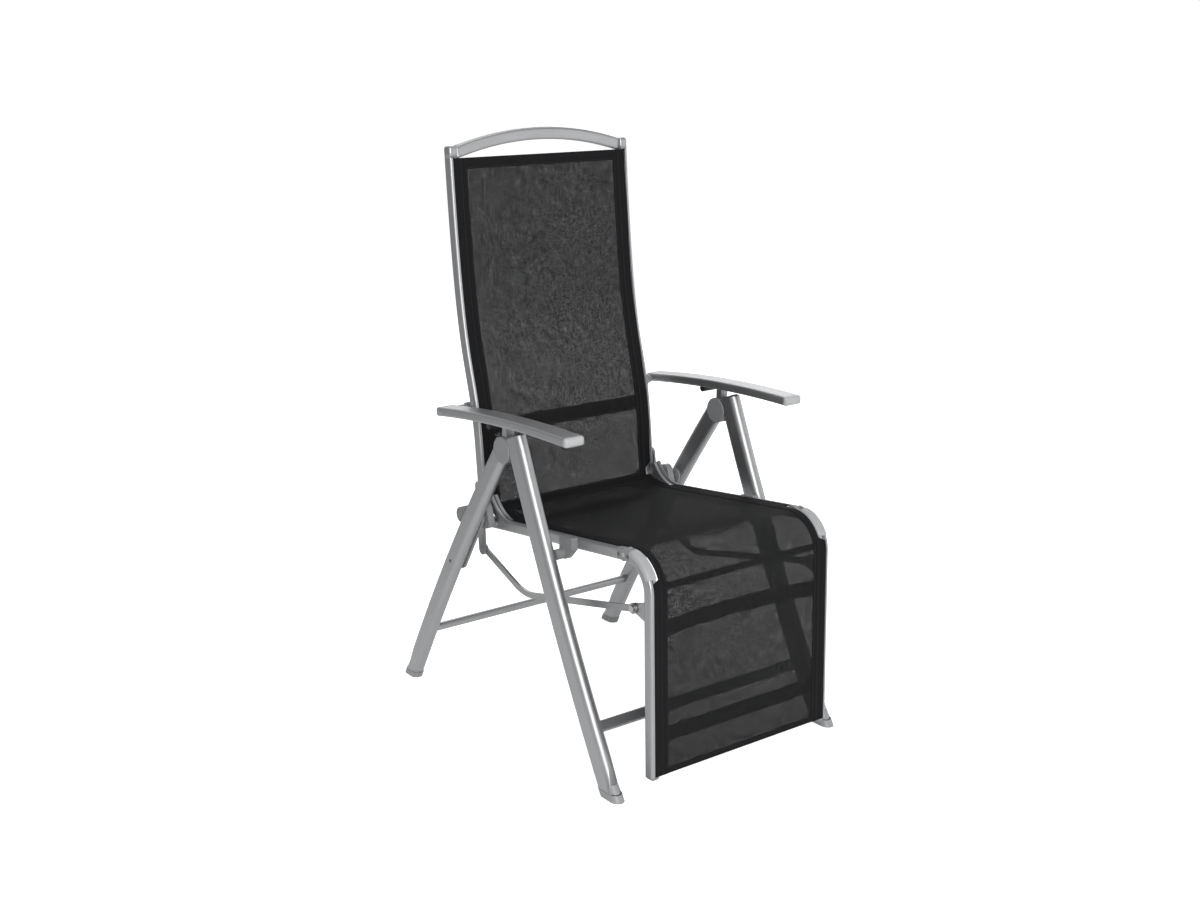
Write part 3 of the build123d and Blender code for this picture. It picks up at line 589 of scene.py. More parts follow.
class Surface:
    """Meshes from whole arrays of points."""

    @staticmethod
    def _made(
        name: str, points: Array, faces: Sequence, uv: Optional[Array]
    ) -> Piece:
        """Puts points and faces into a smooth mesh in the scene.

        Args:
            name: name of the object.
            points: array of any shape by 3.
            faces: the points' places in each face.
            uv: array of the same shape by 2, or None.

        Returns:
            The new object.
        """
        mesh = bpy.data.meshes.new(name)
        mesh.from_pydata(points.reshape(-1, 3), [], faces)
        if uv is not None:
            corners = np.empty(len(mesh.loops), dtype=np.int32)
            mesh.loops.foreach_get("vertex_index", corners)
            layer = mesh.uv_layers.new(name="UVMap")
            flat = uv.reshape(-1, 2)[corners].astype(np.float32)
            layer.data.foreach_set("uv", flat.reshape(-1))
        mesh.polygons.foreach_set("use_smooth", np.ones(len(faces), dtype=bool))
        mesh.update()
        piece = bpy.data.objects.new(name, mesh)
        bpy.context.scene.collection.objects.link(piece)
        return piece

    @staticmethod
    def grid(name: str, points: Array, uv: Optional[Array] = None) -> Piece:
        """Makes an open sheet from a grid of points.

        Args:
            name: name of the object.
            points: rows by columns by 3, in metres.
            uv: rows by columns by 2, or None.

        Returns:
            The new object.
        """
        rows, columns = points.shape[:2]
        index = np.arange(rows * columns).reshape(rows, columns)
        sides = [index[:-1, :-1], index[:-1, 1:], index[1:, 1:], index[1:, :-1]]
        return Surface._made(name, points, np.stack(sides, axis=-1).reshape(-1, 4), uv)

    @staticmethod
    def bars(name: str, points: Array, uv: Optional[Array] = None) -> Piece:
        """Makes closed bars from rings of points, each bar capped at both ends.

        Args:
            name: name of the object.
            points: bars by rings by points of a ring by 3, in metres.
            uv: the same by 2, or None.

        Returns:
            The new object.
        """
        index = np.arange(points[..., 0].size).reshape(points.shape[:3])
        right = np.roll(index, -1, axis=2)
        sides = [index[:, :-1], right[:, :-1], right[:, 1:], index[:, 1:]]
        quads = np.stack(sides, axis=-1).reshape(-1, 4).tolist()
        caps = [*index[:, 0, ::-1].tolist(), *index[:, -1].tolist()]
        return Surface._made(name, points, [*quads, *caps], uv)

    @staticmethod
    def bar(name: str, points: Array, uv: Array) -> Piece:
        """Makes one closed bar from rings by points of a ring, with its UV map."""
        return Surface.bars(name, points[None], uv[None])


def round_outline(wide: float, high: float, corner: float, count: int = 9) -> Array:
    """Rectangle with round corners: four quarter rounds joined by straight sides.

    Args:
        wide: its width.
        high: its height.
        corner: radius of its corners.
        count: points of one corner.

    Returns:
        Points counterclockwise, N by 2.
    """
    turn = np.linspace(0.0, QUARTER_TURN, count)
    parts = []
    for quarter, (across, up) in enumerate(((1, 1), (-1, 1), (-1, -1), (1, -1))):
        angle = turn + quarter * QUARTER_TURN
        middle = np.array([across * (wide / 2 - corner), up * (high / 2 - corner)])
        parts.append(middle + corner * np.stack([np.cos(angle), np.sin(angle)], axis=1))
    return np.concatenate(parts)


@dataclass(frozen=True)
class RoundEnd:
    """End of a straight bar with round long edges and a round far edge.

    Attributes:
        wide: its width across the chair.
        high: its size the other way.
        corner: radius of its long edges.
        shrink: how fast that radius shrinks as the outline is drawn in.
        least: the least that is left of it.
        length: length of the end.
        edge: radius of the far edge.
        starts: where its first outlines stand, as shares of its straight stretch.
        count: outlines of the far edge's quarter round.
    """

    wide: float
    high: float
    corner: float
    shrink: float
    least: float
    length: float
    edge: float
    starts: tuple[float, ...]
    count: int

    def build(
        self, name: str, start: Array, way: Array, up: Array, middle: float
    ) -> Piece:
        """Carries the outline along the way, drawn in over the last stretch.

        It is drawn in by the edge's radius times one less the cosine of an angle, while it moves
        on by the radius times the angle's sine, so the far edge is a quarter round.

        Args:
            name: name of the piece.
            start: where the end begins, X and Z.
            way: unit vector along it.
            up: unit vector square to it.
            middle: its Y.

        Returns:
            The closed end.
        """
        turn = np.linspace(0.0, QUARTER_TURN * LAST_RING, self.count)
        straight = self.length - self.edge
        first = np.array(self.starts) * straight
        run = np.concatenate([first, straight + self.edge * np.sin(turn)])[:, None]
        inset = np.concatenate([first * 0.0, self.edge * (1.0 - np.cos(turn))])
        rings = []
        for draw in inset:
            corner = max(self.corner - draw * self.shrink, self.least)
            rings.append(round_outline(self.wide - 2 * draw, self.high - 2 * draw, corner))
        ring = np.stack(rings)
        flat = start + way * run[..., None] + up * ring[..., 1:]
        side = middle + ring[..., 0]
        points, uv = in_space(flat, side), metre_map(side, run)
        if way[0] * up[1] < way[1] * up[0]:
            points, uv = points[:, ::-1], uv[:, ::-1]
        return Surface.bar(name, points, uv)


# Slings


@dataclass(frozen=True)
class SideLine:
    """Line in the side view, as rows of X and Z with the way along and the way up from it.

    Attributes:
        place: array of N by 2, in metres.
        along: unit vectors along the line, N by 2.
        up: unit vectors away from the tubes, N by 2.
        run: distance along the line at each row, in metres.
    """

    place: Array
    along: Array
    up: Array
    run: Array

    @staticmethod
    def through(place: Array, step: float = 0.004) -> "SideLine":
        """Spaces a line's points evenly and works out its directions.

        The distance along is the running sum of the steps' lengths, and the points are read off
        at equal distances. The way along is the central difference, and the way up is the way
        along turned by a quarter turn.

        Args:
            place: points of the line, N by 2, in metres.
            step: distance between the new points.

        Returns:
            The evenly spaced line.
        """
        steps = np.linalg.norm(np.diff(place, axis=0), axis=1)
        far = np.concatenate([[0.0], np.cumsum(steps)])
        count = max(3, int(round(far[-1] / step)) + 1)
        run = np.linspace(0.0, far[-1], count)
        even = np.stack([np.interp(run, far, place[:, i]) for i in (0, 1)], axis=1)
        along = np.gradient(even, run, axis=0)
        along /= np.linalg.norm(along, axis=1, keepdims=True)
        up = np.stack([-along[:, 1], along[:, 0]], axis=1)
        return SideLine(even, along, up, run)

    def at(self, rows: Array, run: Array) -> Array:
        """Values at some distances along the line, from values at its own points."""
        columns = range(rows.shape[1])
        return np.stack([np.interp(run, self.run, rows[:, i]) for i in columns], axis=1)

    def band(self, side: Array, lift: Array) -> Array:
        """Surface over the line: each row is its point, moved up and out sideways."""
        return in_space(self.place[:, None] + self.up[:, None] * lift[..., None], side)


def hem_section(edge: float) -> tuple[Array, Array]:
    """Section of a folded hem: a flat ring of ten points with its corners pulled in.

    Args:
        edge: share of the width over which a corner is pulled in.

    Returns:
        Places across the hem from 0 to 1, and heights from about -1 to 1.
    """
    across = [0.0, 0.0, edge, 0.5, 1.0 - edge, 1.0, 1.0, 1.0 - edge, 0.5, edge]
    height = [-0.4, 0.4, 1.0, HEM_TOP, 1.0, 0.4, -0.4, -1.0, -1.0, -1.0]
    return np.array(across), np.array(height)


@dataclass
class Weft:
    """Woven sheet with its hems and seams, stretched between two side tubes.

    Attributes:
        name: name of the sheet.
        line: its middle surface in the side view.
        half: half its width at each row of the line, in metres.
        sag: how far its middle hangs below the straight cross line.
        end_hems: widths of the hems at the line's start and end.
        hem_inner: distance from the middle of the chair to the side hems' inner edge.
        hem_rise: how far a hem stands above and below the sheet.
        hem_overlap: how far an end hem reaches into the side hems.
        fade_run: distance from either end over which the sag fades in.
        seam_insets: distances of the rows of stitches from the hem's inner edge.
        seam_margin: how far a seam stops short of the side hems.
        stitch: length of one stitch.
        stitch_step: distance from stitch to stitch over that length.
        thread: thickness of the thread.
        columns: points across the sheet.
    """

    name: str
    line: SideLine
    half: Array
    sag: float
    end_hems: Pair
    hem_inner: float = 0.180
    hem_rise: float = 0.0009
    hem_overlap: float = 0.002
    fade_run: float = 0.06
    seam_insets: Pair = (0.003, 0.014)
    seam_margin: float = 0.004
    stitch: float = 0.0042
    stitch_step: float = 1.35
    thread: float = 0.0005
    columns: int = 61

    def droop(self, side: Array) -> Array:
        """Height of the sheet across the chair.

        Inside the hems it hangs by the sag times one less the square of the side place over the
        hems' place. It is faded to nothing at the first and the last stretch of the line.

        Args:
            side: Y of the points, rows by columns.

        Returns:
            Height above the line, rows by columns.
        """
        share = np.clip(1.0 - (side / self.hem_inner) ** 2, 0.0, 1.0)
        run = self.line.run
        fade = smooth(np.minimum(run, run[-1] - run) / self.fade_run)
        return -self.sag * share * fade[:, None]

    def sheet(self) -> Piece:
        """The woven sheet: the side line carried across the chair, with its droop.

        Returns:
            The sheet, with a UV map in metres.
        """
        side = self.half[:, None] * np.linspace(-1.0, 1.0, self.columns)
        points = self.line.band(side, self.droop(side))
        return Surface.grid(self.name, points, metre_map(side, self.line.run[:, None]))

    def side_hem(self, side: Side) -> Piece:
        """Hem folded over one side edge: its section carried along the line.

        Args:
            side: the side.

        Returns:
            The hem.
        """
        across, height = hem_section(0.03)
        place = self.hem_inner + (self.half[:, None] - self.hem_inner) * across
        place = side.value * place
        points = self.line.band(place, height[None] * self.hem_rise)
        uv = metre_map(place, self.line.run[:, None])
        if side is Side.RIGHT:
            points, uv = points[:, ::-1], uv[:, ::-1]
        return Surface.bar(f"{self.name}_hem_{side.tag}", points, uv)

    def end_hem(self, label: str, start: float, end: float) -> Piece:
        """Hem across one end of the sheet: its section carried across, along the droop.

        Args:
            label: end of its name.
            start: distance along the line at which it starts.
            end: distance at which it ends.

        Returns:
            The hem.
        """
        line = self.line
        along, height = hem_section(0.04)
        run = along * (end - start) + start
        half = np.interp(run, line.run, self.half).min()
        half = min(half, self.hem_inner + self.hem_overlap)
        side = np.linspace(-1.0, 1.0, self.columns) * half
        droop = self.droop(np.broadcast_to(side, (len(line.run), self.columns)))
        lift = line.at(droop, run).T + height * self.hem_rise
        flat = line.at(line.place, run) + line.at(line.up, run) * lift[..., None]
        points = in_space(flat, side[:, None])
        uv = metre_map(points[..., 1], run)
        return Surface.bar(f"{self.name}_hem_{label}", points[:, ::-1], uv[:, ::-1])

    def stitches(self) -> Piece:
        """Rows of stitches along the hems: each is a small bead of six sides.

        Returns:
            All the stitches as one piece.
        """
        step, far, inset = self.stitch * self.stitch_step, self.line.run[-1], self.seam_insets[0]
        spots = np.arange(self.stitch, far - self.stitch, step)
        parts = []
        for side in Side:
            for place in self.seam_insets:
                across = np.full(len(spots), side.value * (self.hem_inner + place))
                parts.append(self._beads(spots, across, lengthwise=True))
        reach = self.hem_inner - self.seam_margin
        across = np.arange(-reach, reach, step)
        for run in (self.end_hems[0] - inset, far - self.end_hems[1] + inset):
            parts.append(self._beads(np.full(len(across), run), across, lengthwise=False))
        return Surface.bars(f"{self.name}_stitches", np.concatenate(parts))

    def _beads(self, run: Array, side: Array, lengthwise: bool) -> Array:
        """Points of one row of stitches.

        A bead's rings shrink to its ends by the square root of one less the square of the way
        from its middle. The sheet's height is read off at the nearest of 45 places across it.

        Args:
            run: distance along the line of each bead.
            side: Y of each bead.
            lengthwise: True if the beads lie along the line, False if they lie across it.

        Returns:
            Points, beads by rings by sides by 3.
        """
        line = self.line
        reach, cells = 0.22, 44
        across = np.broadcast_to(np.linspace(-reach, reach, cells + 1), (len(line.run), cells + 1))
        rows = np.clip(np.searchsorted(line.run, run), 0, len(line.run) - 1)
        columns = np.round((side + reach) / (2.0 * reach / cells))
        columns = np.clip(columns, 0, cells).astype(int)
        lift = self.droop(across)[rows, columns] + self.hem_rise * HEM_TOP
        up = line.at(line.up, run)
        centre = in_space(line.at(line.place, run) + up * lift[:, None], side)
        up, along = in_space(up, 0.0), in_space(line.at(line.along, run), 0.0)
        sideways = np.broadcast_to([0.0, 1.0, 0.0], up.shape)
        way, wide = (along, sideways) if lengthwise else (sideways, along)
        wide = wide * np.sum(np.cross(up, way) * wide, axis=1, keepdims=True)
        ring = np.linspace(-LAST_RING, LAST_RING, 5)
        turn = np.linspace(0.0, 2.0 * np.pi, 7)[:-1]
        size = np.sqrt(1.0 - ring**2)[:, None] * self.thread
        middle = centre[:, None] + way[:, None] * (ring * self.stitch / 2)[:, None]
        points = middle[:, :, None] + wide[:, None, None] * (size * np.cos(turn))[..., None]
        return points + up[:, None, None] * (size * np.sin(turn))[..., None]

    def build(
        self, shop: Paintshop, finish: MeshFinish
    ) -> tuple[Piece, list[Piece]]:
        """Builds and paints the sheet with its hems and seams.

        Args:
            shop: where the finishes come from.
            finish: finish of the sheet.

        Returns:
            The sheet, and its hems and stitches.
        """
        far = self.line.run[-1]
        sheet = self.sheet()
        hems = [self.side_hem(side) for side in Side]
        hems.append(self.end_hem("top", 0.0, self.end_hems[0]))
        hems.append(self.end_hem("low", far - self.end_hems[1], far))
        seams = self.stitches()
        shop.paint(sheet, finish)
        for hem in hems:
            shop.paint(hem, HEM)
        shop.paint(seams, THREAD)
        return sheet, [*hems, seams]


@dataclass
class SeatRest:
    """Woven fabric of the seat and the footrest, in one piece round the knee.

    All sizes are metres and repeat the frame's own: the line starts between the rails' turned
    ends, dips a little, runs forward to the knee hinge, round it and down the shins.

    Attributes:
        shop: where its finishes come from.
        knee: knee hinge, X and Z.
        rise_deg: slope of the seat's rails.
        rear_along: distance from the knee to where the fabric starts to rise.
        rear_radius: radius of that rise.
        rear_turn_deg: its angle.
        knee_radius: radius of the bend below the knee.
        lean_deg: lean of the shins.
        low: height of the fabric's lower end.
        above: height of the fabric over the tubes' centre lines.
        half: half width of the fabric in the rails' beds.
        narrow_half: half width between the knee's sleeves.
        narrow: distances before and after the knee over which it is narrow.
        rear_half: half width between the rails' turned ends.
        rear_run: distance from the rear edge over which it has that width.
        change_run: distance over which the width changes.
        sag: how far the seat's middle hangs.
        end_hems: widths of the rear and the lower hem.
        blend_half: half the stretch at the knee that would bend between the two bodies; not used.
    """

    shop: Paintshop
    knee: Pair
    rise_deg: float = RAIL_RISE_DEG
    rear_along: float = 0.358
    rear_radius: float = 0.225
    rear_turn_deg: float = 23.0
    knee_radius: float = KNEE_RADIUS
    lean_deg: float = SHIN_LEAN_DEG
    low: float = 0.045
    above: float = 0.0096
    half: float = BED_HALF
    narrow_half: float = 0.1972
    narrow: Pair = (0.022, 0.089)
    rear_half: float = 0.1999
    rear_run: float = 0.070
    change_run: float = 0.006
    sag: float = 0.0035
    end_hems: Pair = (0.022, 0.012)
    blend_half: float = 0.012

    def side_line(self) -> tuple[SideLine, float]:
        """Side line of the fabric.

        It is a shallow arc, the straight rail, the knee's arc and the shin. Each point is moved up
        from the tubes' centre lines by the fabric's height over them.

        Returns:
            The line, and the distance along it at which the knee hinge stands.
        """
        ahead, up = sloped(self.rise_deg)
        lean = math.radians(self.lean_deg)
        knee = np.array(self.knee)
        turn = np.radians(np.linspace(self.rear_turn_deg, 0.0, 30))[:, None]
        middle = knee - ahead * self.rear_along + up * self.rear_radius
        low_radius = self.rear_radius - self.above
        rear = middle - low_radius * (np.sin(turn) * ahead + np.cos(turn) * up)
        flat = knee + up * self.above
        bend_middle = knee - up * self.knee_radius
        sweep = np.radians(np.linspace(0.0, 90.0 + self.rise_deg - self.lean_deg, 40))[:, None]
        high_radius = self.knee_radius + self.above
        bend = bend_middle + high_radius * (np.sin(sweep) * ahead + np.cos(sweep) * up)
        down = np.array([math.sin(lean), -math.cos(lean)])
        end = bend[-1:] + down * (bend[-1, 1] - self.low) / -down[1]
        line = SideLine.through(np.concatenate([rear, [flat], bend[1:], end]))
        at_knee = float(line.run[np.argmin(np.linalg.norm(line.place - flat, axis=1))])
        return line, at_knee

    def widths(self, run: Array, at_knee: float) -> Array:
        """Half width along the line: full in the rails' beds and less at the knee and the rear.

        Args:
            run: distance along the line at each row.
            at_knee: the same at the knee.

        Returns:
            Half width at each row.
        """
        into = (run - (at_knee - self.narrow[0])) / self.change_run + 1.0
        out = (at_knee + self.narrow[1] - run) / self.change_run + 1.0
        knee = smooth(np.minimum(into, out))
        rear = smooth((self.rear_run - run) / self.change_run + 1.0)
        at_sleeves, at_rear = self.narrow_half - self.half, self.rear_half - self.half
        return self.half + at_sleeves * knee + at_rear * rear

    def build(self) -> list[Piece]:
        """Builds and dresses the fabric with its hems and seams.

        Returns:
            Its pieces, the sheet first.
        """
        line, at_knee = self.side_line()
        widths = self.widths(line.run, at_knee)
        weft = Weft("seat_fabric", line, widths, self.sag, self.end_hems)
        sheet, trim = weft.build(self.shop, SLING)
        for piece in (sheet, *trim):
            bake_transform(piece)
        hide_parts("seat_sling", "footrest_sling")
        return [sheet, *trim]


@dataclass
class BackRest:
    """Woven fabric of the back, between its two tubes.

    Attributes:
        shop: where its finishes come from.
        node: the stiff sheet that stands for it in the frame.
        half: half width of the fabric in the tubes' beds, in metres.
        low_half: half width of its lower end, which hangs between the tubes.
        low_run: length of that end below the beds.
        change: distance above the beds' end at which the width starts to change, and distance
            over which it changes.
        sag: how far its middle stands behind the tubes' plane.
        end_hems: widths of the upper and the lower hem.
        short: how far the line stops short of the stiff sheet's edges.
        degree: degree of the polynomial through its edge.
    """

    shop: Paintshop
    node: Piece
    half: float = BED_HALF
    low_half: float = 0.1965
    low_run: float = 0.034
    change: Pair = (0.006, 0.016)
    sag: float = 0.003
    end_hems: Pair = (0.022, 0.018)
    short: float = 0.001
    degree: int = 7

    def side_line(self) -> SideLine:
        """Side line of the stiff sheet, as X worked out from the height, with its lower end.

        The sheet's side edges give X at many heights. A Chebyshev polynomial in the height,
        fitted by least squares, is the middle of its two faces. Below it the line goes on
        straight.

        Returns:
            The line, from the top down.
        """
        points = np.empty(len(self.node.data.vertices) * 3, dtype=np.float32)
        self.node.data.vertices.foreach_get("co", points)
        points = points.reshape(-1, 3).astype(float)
        edge = points[points[:, 1] > points[:, 1].max() - 1e-4]
        high, low = edge[:, 2].max(), edge[:, 2].min()
        share = (edge[:, 2] - low) / (high - low) * 2.0 - 1.0
        fit = np.polynomial.chebyshev.chebfit(share, edge[:, 0], self.degree)
        z = np.linspace(high - self.short, low + self.short, 200)
        x = np.polynomial.chebyshev.chebval((z - low) / (high - low) * 2.0 - 1.0, fit)
        place = np.stack([x, z], axis=1)
        way = (place[-1] - place[-8]) / np.linalg.norm(place[-1] - place[-8])
        return SideLine.through(np.concatenate([place, place[-1:] + way * self.low_run]))

    def build(self) -> list[Piece]:
        """Builds and dresses the fabric with its hems and seams.

        Returns:
            Its pieces, the sheet first.
        """
        line = self.side_line()
        below = line.run - line.run[-1] + self.low_run
        narrowing = smooth((below + self.change[0]) / self.change[1])
        half = self.half + (self.low_half - self.half) * narrowing
        weft = Weft("back_fabric", line, half, self.sag, self.end_hems)
        sheet, trim = weft.build(self.shop, SLING_BACK)
        for piece in (sheet, *trim):
            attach(piece, Body.BACK.value)
        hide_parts("back_sling")
        return [sheet, *trim]


# Trim


@dataclass
class KneeSleeve:
    """Rounded sleeves over the footrest tubes' bends at the knee.

    Attributes:
        shop: where their finish comes from.
        knee: knee hinge, X and Z, in metres.
        rise_deg: slope of the seat's rails.
        lean_deg: lean of the shins.
        radius: radius of the bend's centre line.
        tube: width and depth of the tube, in metres.
        corner: radius of the tube's corners.
        centre: distance of the tube from the chair's middle.
        gap: clearance over the tube.
        wall: thickness of the sleeve.
        low: height at which its sides end, over the tube's centre line.
        shares: where on the bend it starts and ends.
    """

    shop: Paintshop
    knee: Pair
    rise_deg: float = RAIL_RISE_DEG
    lean_deg: float = SHIN_LEAN_DEG
    radius: float = KNEE_RADIUS
    tube: Pair = TUBE
    corner: float = TUBE_CORNER
    centre: float = TUBE_CENTRE
    gap: float = 0.0003
    wall: float = 0.0018
    low: float = 0.002
    shares: Pair = (0.16, 0.74)

    def _shell(self, offset: float) -> Array:
        """Upper part of the tube's outline moved out: two straight sides and two quarter rounds.

        Args:
            offset: distance from the tube's outline.

        Returns:
            Points from one side over the top to the other, N by 2, as the place across and up.
        """
        wide, high = self.tube[0] / 2, self.tube[1] / 2
        turn = np.linspace(0.0, QUARTER_TURN, 15)
        reach = self.corner + offset
        bend = np.stack([np.cos(turn), np.sin(turn)], axis=1) * reach
        bend = bend + [wide - self.corner, high - self.corner]
        right = np.concatenate([[[wide + offset, self.low]], bend])
        return np.concatenate([right, right[::-1] * [-1.0, 1.0]])

    def _sleeve(self, side: Side) -> Piece:
        """One sleeve: its section carried along the bend, with shrunk ends.

        The wall's thickness at a section is the full one times the fourth root of one less the
        fourth power of the way from the middle, so both ends are round.

        Args:
            side: its side.

        Returns:
            The sleeve.
        """
        ahead, up = sloped(self.rise_deg)
        middle = np.array(self.knee) - up * self.radius
        way = np.sin(np.linspace(-0.5, 0.5, 41) * np.pi)
        sweep = math.radians(90.0 + self.rise_deg - self.lean_deg)
        first, last = self.shares
        angle = sweep * (first + (last - first) * (way + 1.0) / 2.0)[:, None]
        full = np.clip(1.0 - way**4, 0.02, 1.0) ** 0.25
        inner = self._shell(self.gap)
        outer = self._shell(self.gap + self.wall)
        thick = inner + (outer - inner) * full[:, None, None]
        back = np.broadcast_to(inner[::-1], (len(way), *inner.shape))
        ring = np.concatenate([thick, back], axis=1)
        out = np.sin(angle) * ahead + np.cos(angle) * up
        flat = middle + out[:, None] * (self.radius + ring[..., 1:])
        across = side.value * (self.centre + ring[..., 0])
        points, uv = in_space(flat, across), metre_map(across, angle * self.radius)
        if side is Side.LEFT:
            points = points[:, ::-1]
        return Surface.bar(f"knee_sleeve_{side.tag}", points, uv)

    def build(self) -> list[Piece]:
        """Builds and dresses both sleeves.

        Returns:
            The pieces.
        """
        made = [self._sleeve(side) for side in Side]
        for sleeve in made:
            self.shop.paint(sleeve, PALE)
            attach(sleeve, Body.REST.value)
            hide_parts("corner_guards")
        return made


@dataclass
class BackHead:
    """Arched bar at the top of the back, and the ends of the two tubes that it joins.

    Attributes:
        shop: where its finishes come from.
        top: top of the back tubes' straight stretch, X and Z, in metres.
        lean: way up along the tubes, X and Z.
        centre: distance of a tube from the chair's middle.
        end: end of a tube.
        bar: depth and height of the bar.
        bar_corner: radius of its corners.
        bar_top: height of the bar's highest line.
        bar_gap: distance from the bar's ends to the tubes.
        bar_drop: how far its ends stand below the tubes' tops.
    """

    shop: Paintshop
    top: Pair = (-0.26771, 1.104)
    lean: Pair = (-0.082, 0.99663)
    centre: float = TUBE_CENTRE
    end: RoundEnd = RoundEnd(
        *TUBE,
        TUBE_CORNER,
        shrink=1.0,
        least=0.0006,
        length=0.0229,
        edge=0.0055,
        starts=(0.0, 0.5),
        count=10,
    )
    bar: Pair = (0.016, 0.0246)
    bar_corner: float = 0.0052
    bar_top: float = 1.1558
    bar_gap: float = 0.0002
    bar_drop: float = 0.0006

    def _bow(self, count: int = 81) -> Piece:
        """Bar between the tubes: its outline carried along a circle's arc.

        The arc rises from the tubes' ends to the bar's highest line. Its radius is the sum of the
        squares of the half width and the rise, over twice the rise. The end outlines stand
        upright.

        Args:
            count: sections along the arc.

        Returns:
            The bar.
        """
        half = self.centre - self.end.wide / 2 - self.bar_gap
        low = self.top[1] + self.lean[1] * self.end.length - self.bar[1] / 2 - self.bar_drop
        rise = self.bar_top - self.bar[1] / 2 - low
        radius = (half**2 + rise**2) / (2.0 * rise)
        side = np.linspace(-half, half, count)[:, None]
        tilt = np.arcsin(side / radius)
        ring = round_outline(*self.bar, self.bar_corner)
        lean = np.sin(tilt) * (np.abs(side) < half - 1e-9)
        y = np.clip(side + lean * ring[:, 1], -half, half)
        z = low + rise - radius * (1.0 - np.cos(tilt)) + np.cos(tilt) * ring[:, 1]
        x = self.top[0] + self.lean[0] * (z - self.top[1]) + ring[:, 0]
        return Surface.bar("head_bow", np.stack([x, y, z], axis=-1), metre_map(y, z))

    def build(self) -> list[Piece]:
        """Builds and dresses the bar and both tube ends.

        Returns:
            The pieces.
        """
        start, lean = np.array(self.top), np.array(self.lean)
        back = np.array([lean[1], -lean[0]])
        ends = []
        for side in Side:
            middle = side.value * self.centre
            ends.append(self.end.build(f"tube_end_{side.tag}", start, lean, back, middle))
        bow = self._bow()
        for piece in (*ends, bow):
            self.shop.paint(piece, SILVER)
            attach(piece, Body.BACK.value)
        for piece in ends:
            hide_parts("back_caps")
        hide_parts("top_bow")
        return [bow, *ends]


@dataclass
class ArmNose:
    """Rounded front caps of the armrests.

    Attributes:
        shop: where their finish comes from.
        rear: rear end of the armrest's centre line, X and Z, in metres.
        middle: its middle.
        front: its front end, where the cap begins.
        centre: distance of an armrest from the chair's middle.
        cap: shape of a cap.
    """

    shop: Paintshop
    rear: Pair = (-0.204711, 0.6174)
    middle: Pair = (0.008289, 0.6394)
    front: Pair = (0.209289, 0.6446)
    centre: float = 0.267
    cap: RoundEnd = RoundEnd(
        wide=0.042,
        high=0.018,
        corner=0.005,
        shrink=0.6,
        least=0.0012,
        length=0.012,
        edge=0.0068,
        starts=(0.0,),
        count=12,
    )

    def _way(self) -> Array:
        """Direction of the centre line's arc at its front end.

        The arc's centre stands at equal distances from its three places, which gives two linear
        equations. The direction stands square to the radius at the front.

        Returns:
            Unit vector, X and Z.
        """
        rear, middle, front = (np.array(place) for place in (self.rear, self.middle, self.front))
        sides = np.stack([middle - rear, front - middle]) * 2.0
        squares = np.array([middle @ middle - rear @ rear, front @ front - middle @ middle])
        radius = front - np.linalg.solve(sides, squares)
        return np.array([radius[1], -radius[0]]) / np.linalg.norm(radius)

    def build(self) -> list[Piece]:
        """Builds and dresses both caps.

        Returns:
            The pieces.
        """
        way = self._way()
        up = np.array([-way[1], way[0]])
        made = []
        for side in Side:
            name, middle = f"arm_nose_{side.tag}", side.value * self.centre
            nose = self.cap.build(name, np.array(self.front), way, up, middle)
            self.shop.paint(nose, NOSE)
            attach(nose, f"arm_{side.tag}")
            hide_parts(f"arm_front_cap_{side.tag}")
            made.append(nose)
        return made


# Studio


@dataclass(frozen=True)
class SoftBox:
    """Rectangular lamp that points at the chair.

    Attributes:
        name: name of the lamp.
        place: where it hangs.
        aim: height on the chair's middle that it points to.
        size: its width and height.
        power: its power in watts.
    """

    name: str
    place: Triple
    aim: float
    size: Pair
    power: float

    def hang(self) -> None:
        """Puts the lamp in the scene."""
        light = bpy.data.lights.new(self.name, "AREA")
        light.shape = "RECTANGLE"
        light.size, light.size_y = self.size
        light.energy = self.power
        lamp = bpy.data.objects.new(self.name, light)
        lamp.location = self.place
        way = Vector((0.0, 0.0, self.aim)) - Vector(self.place)
        lamp.rotation_euler = way.to_track_quat("-Z", "Y").to_euler()
        bpy.context.scene.collection.objects.link(lamp)


LAMPS = (
    SoftBox("key_box", (3.2, -2.0, 1.9), 0.55, (2.0, 2.6), 132.0),
    SoftBox("rim_box", (0.6, 3.2, 1.6), 0.6, (1.2, 2.2), 16.0),
    SoftBox("fill_box", (3.0, 2.3, 1.3), 0.6, (2.0, 2.0), 22.0),
    SoftBox("rear_box", (-3.2, 2.45, 2.3), 0.7, (3.0, 1.1), 32.0),
    SoftBox("top_box", (-0.3, 0.0, 3.4), 0.4, (2.4, 2.4), 30.0),
)


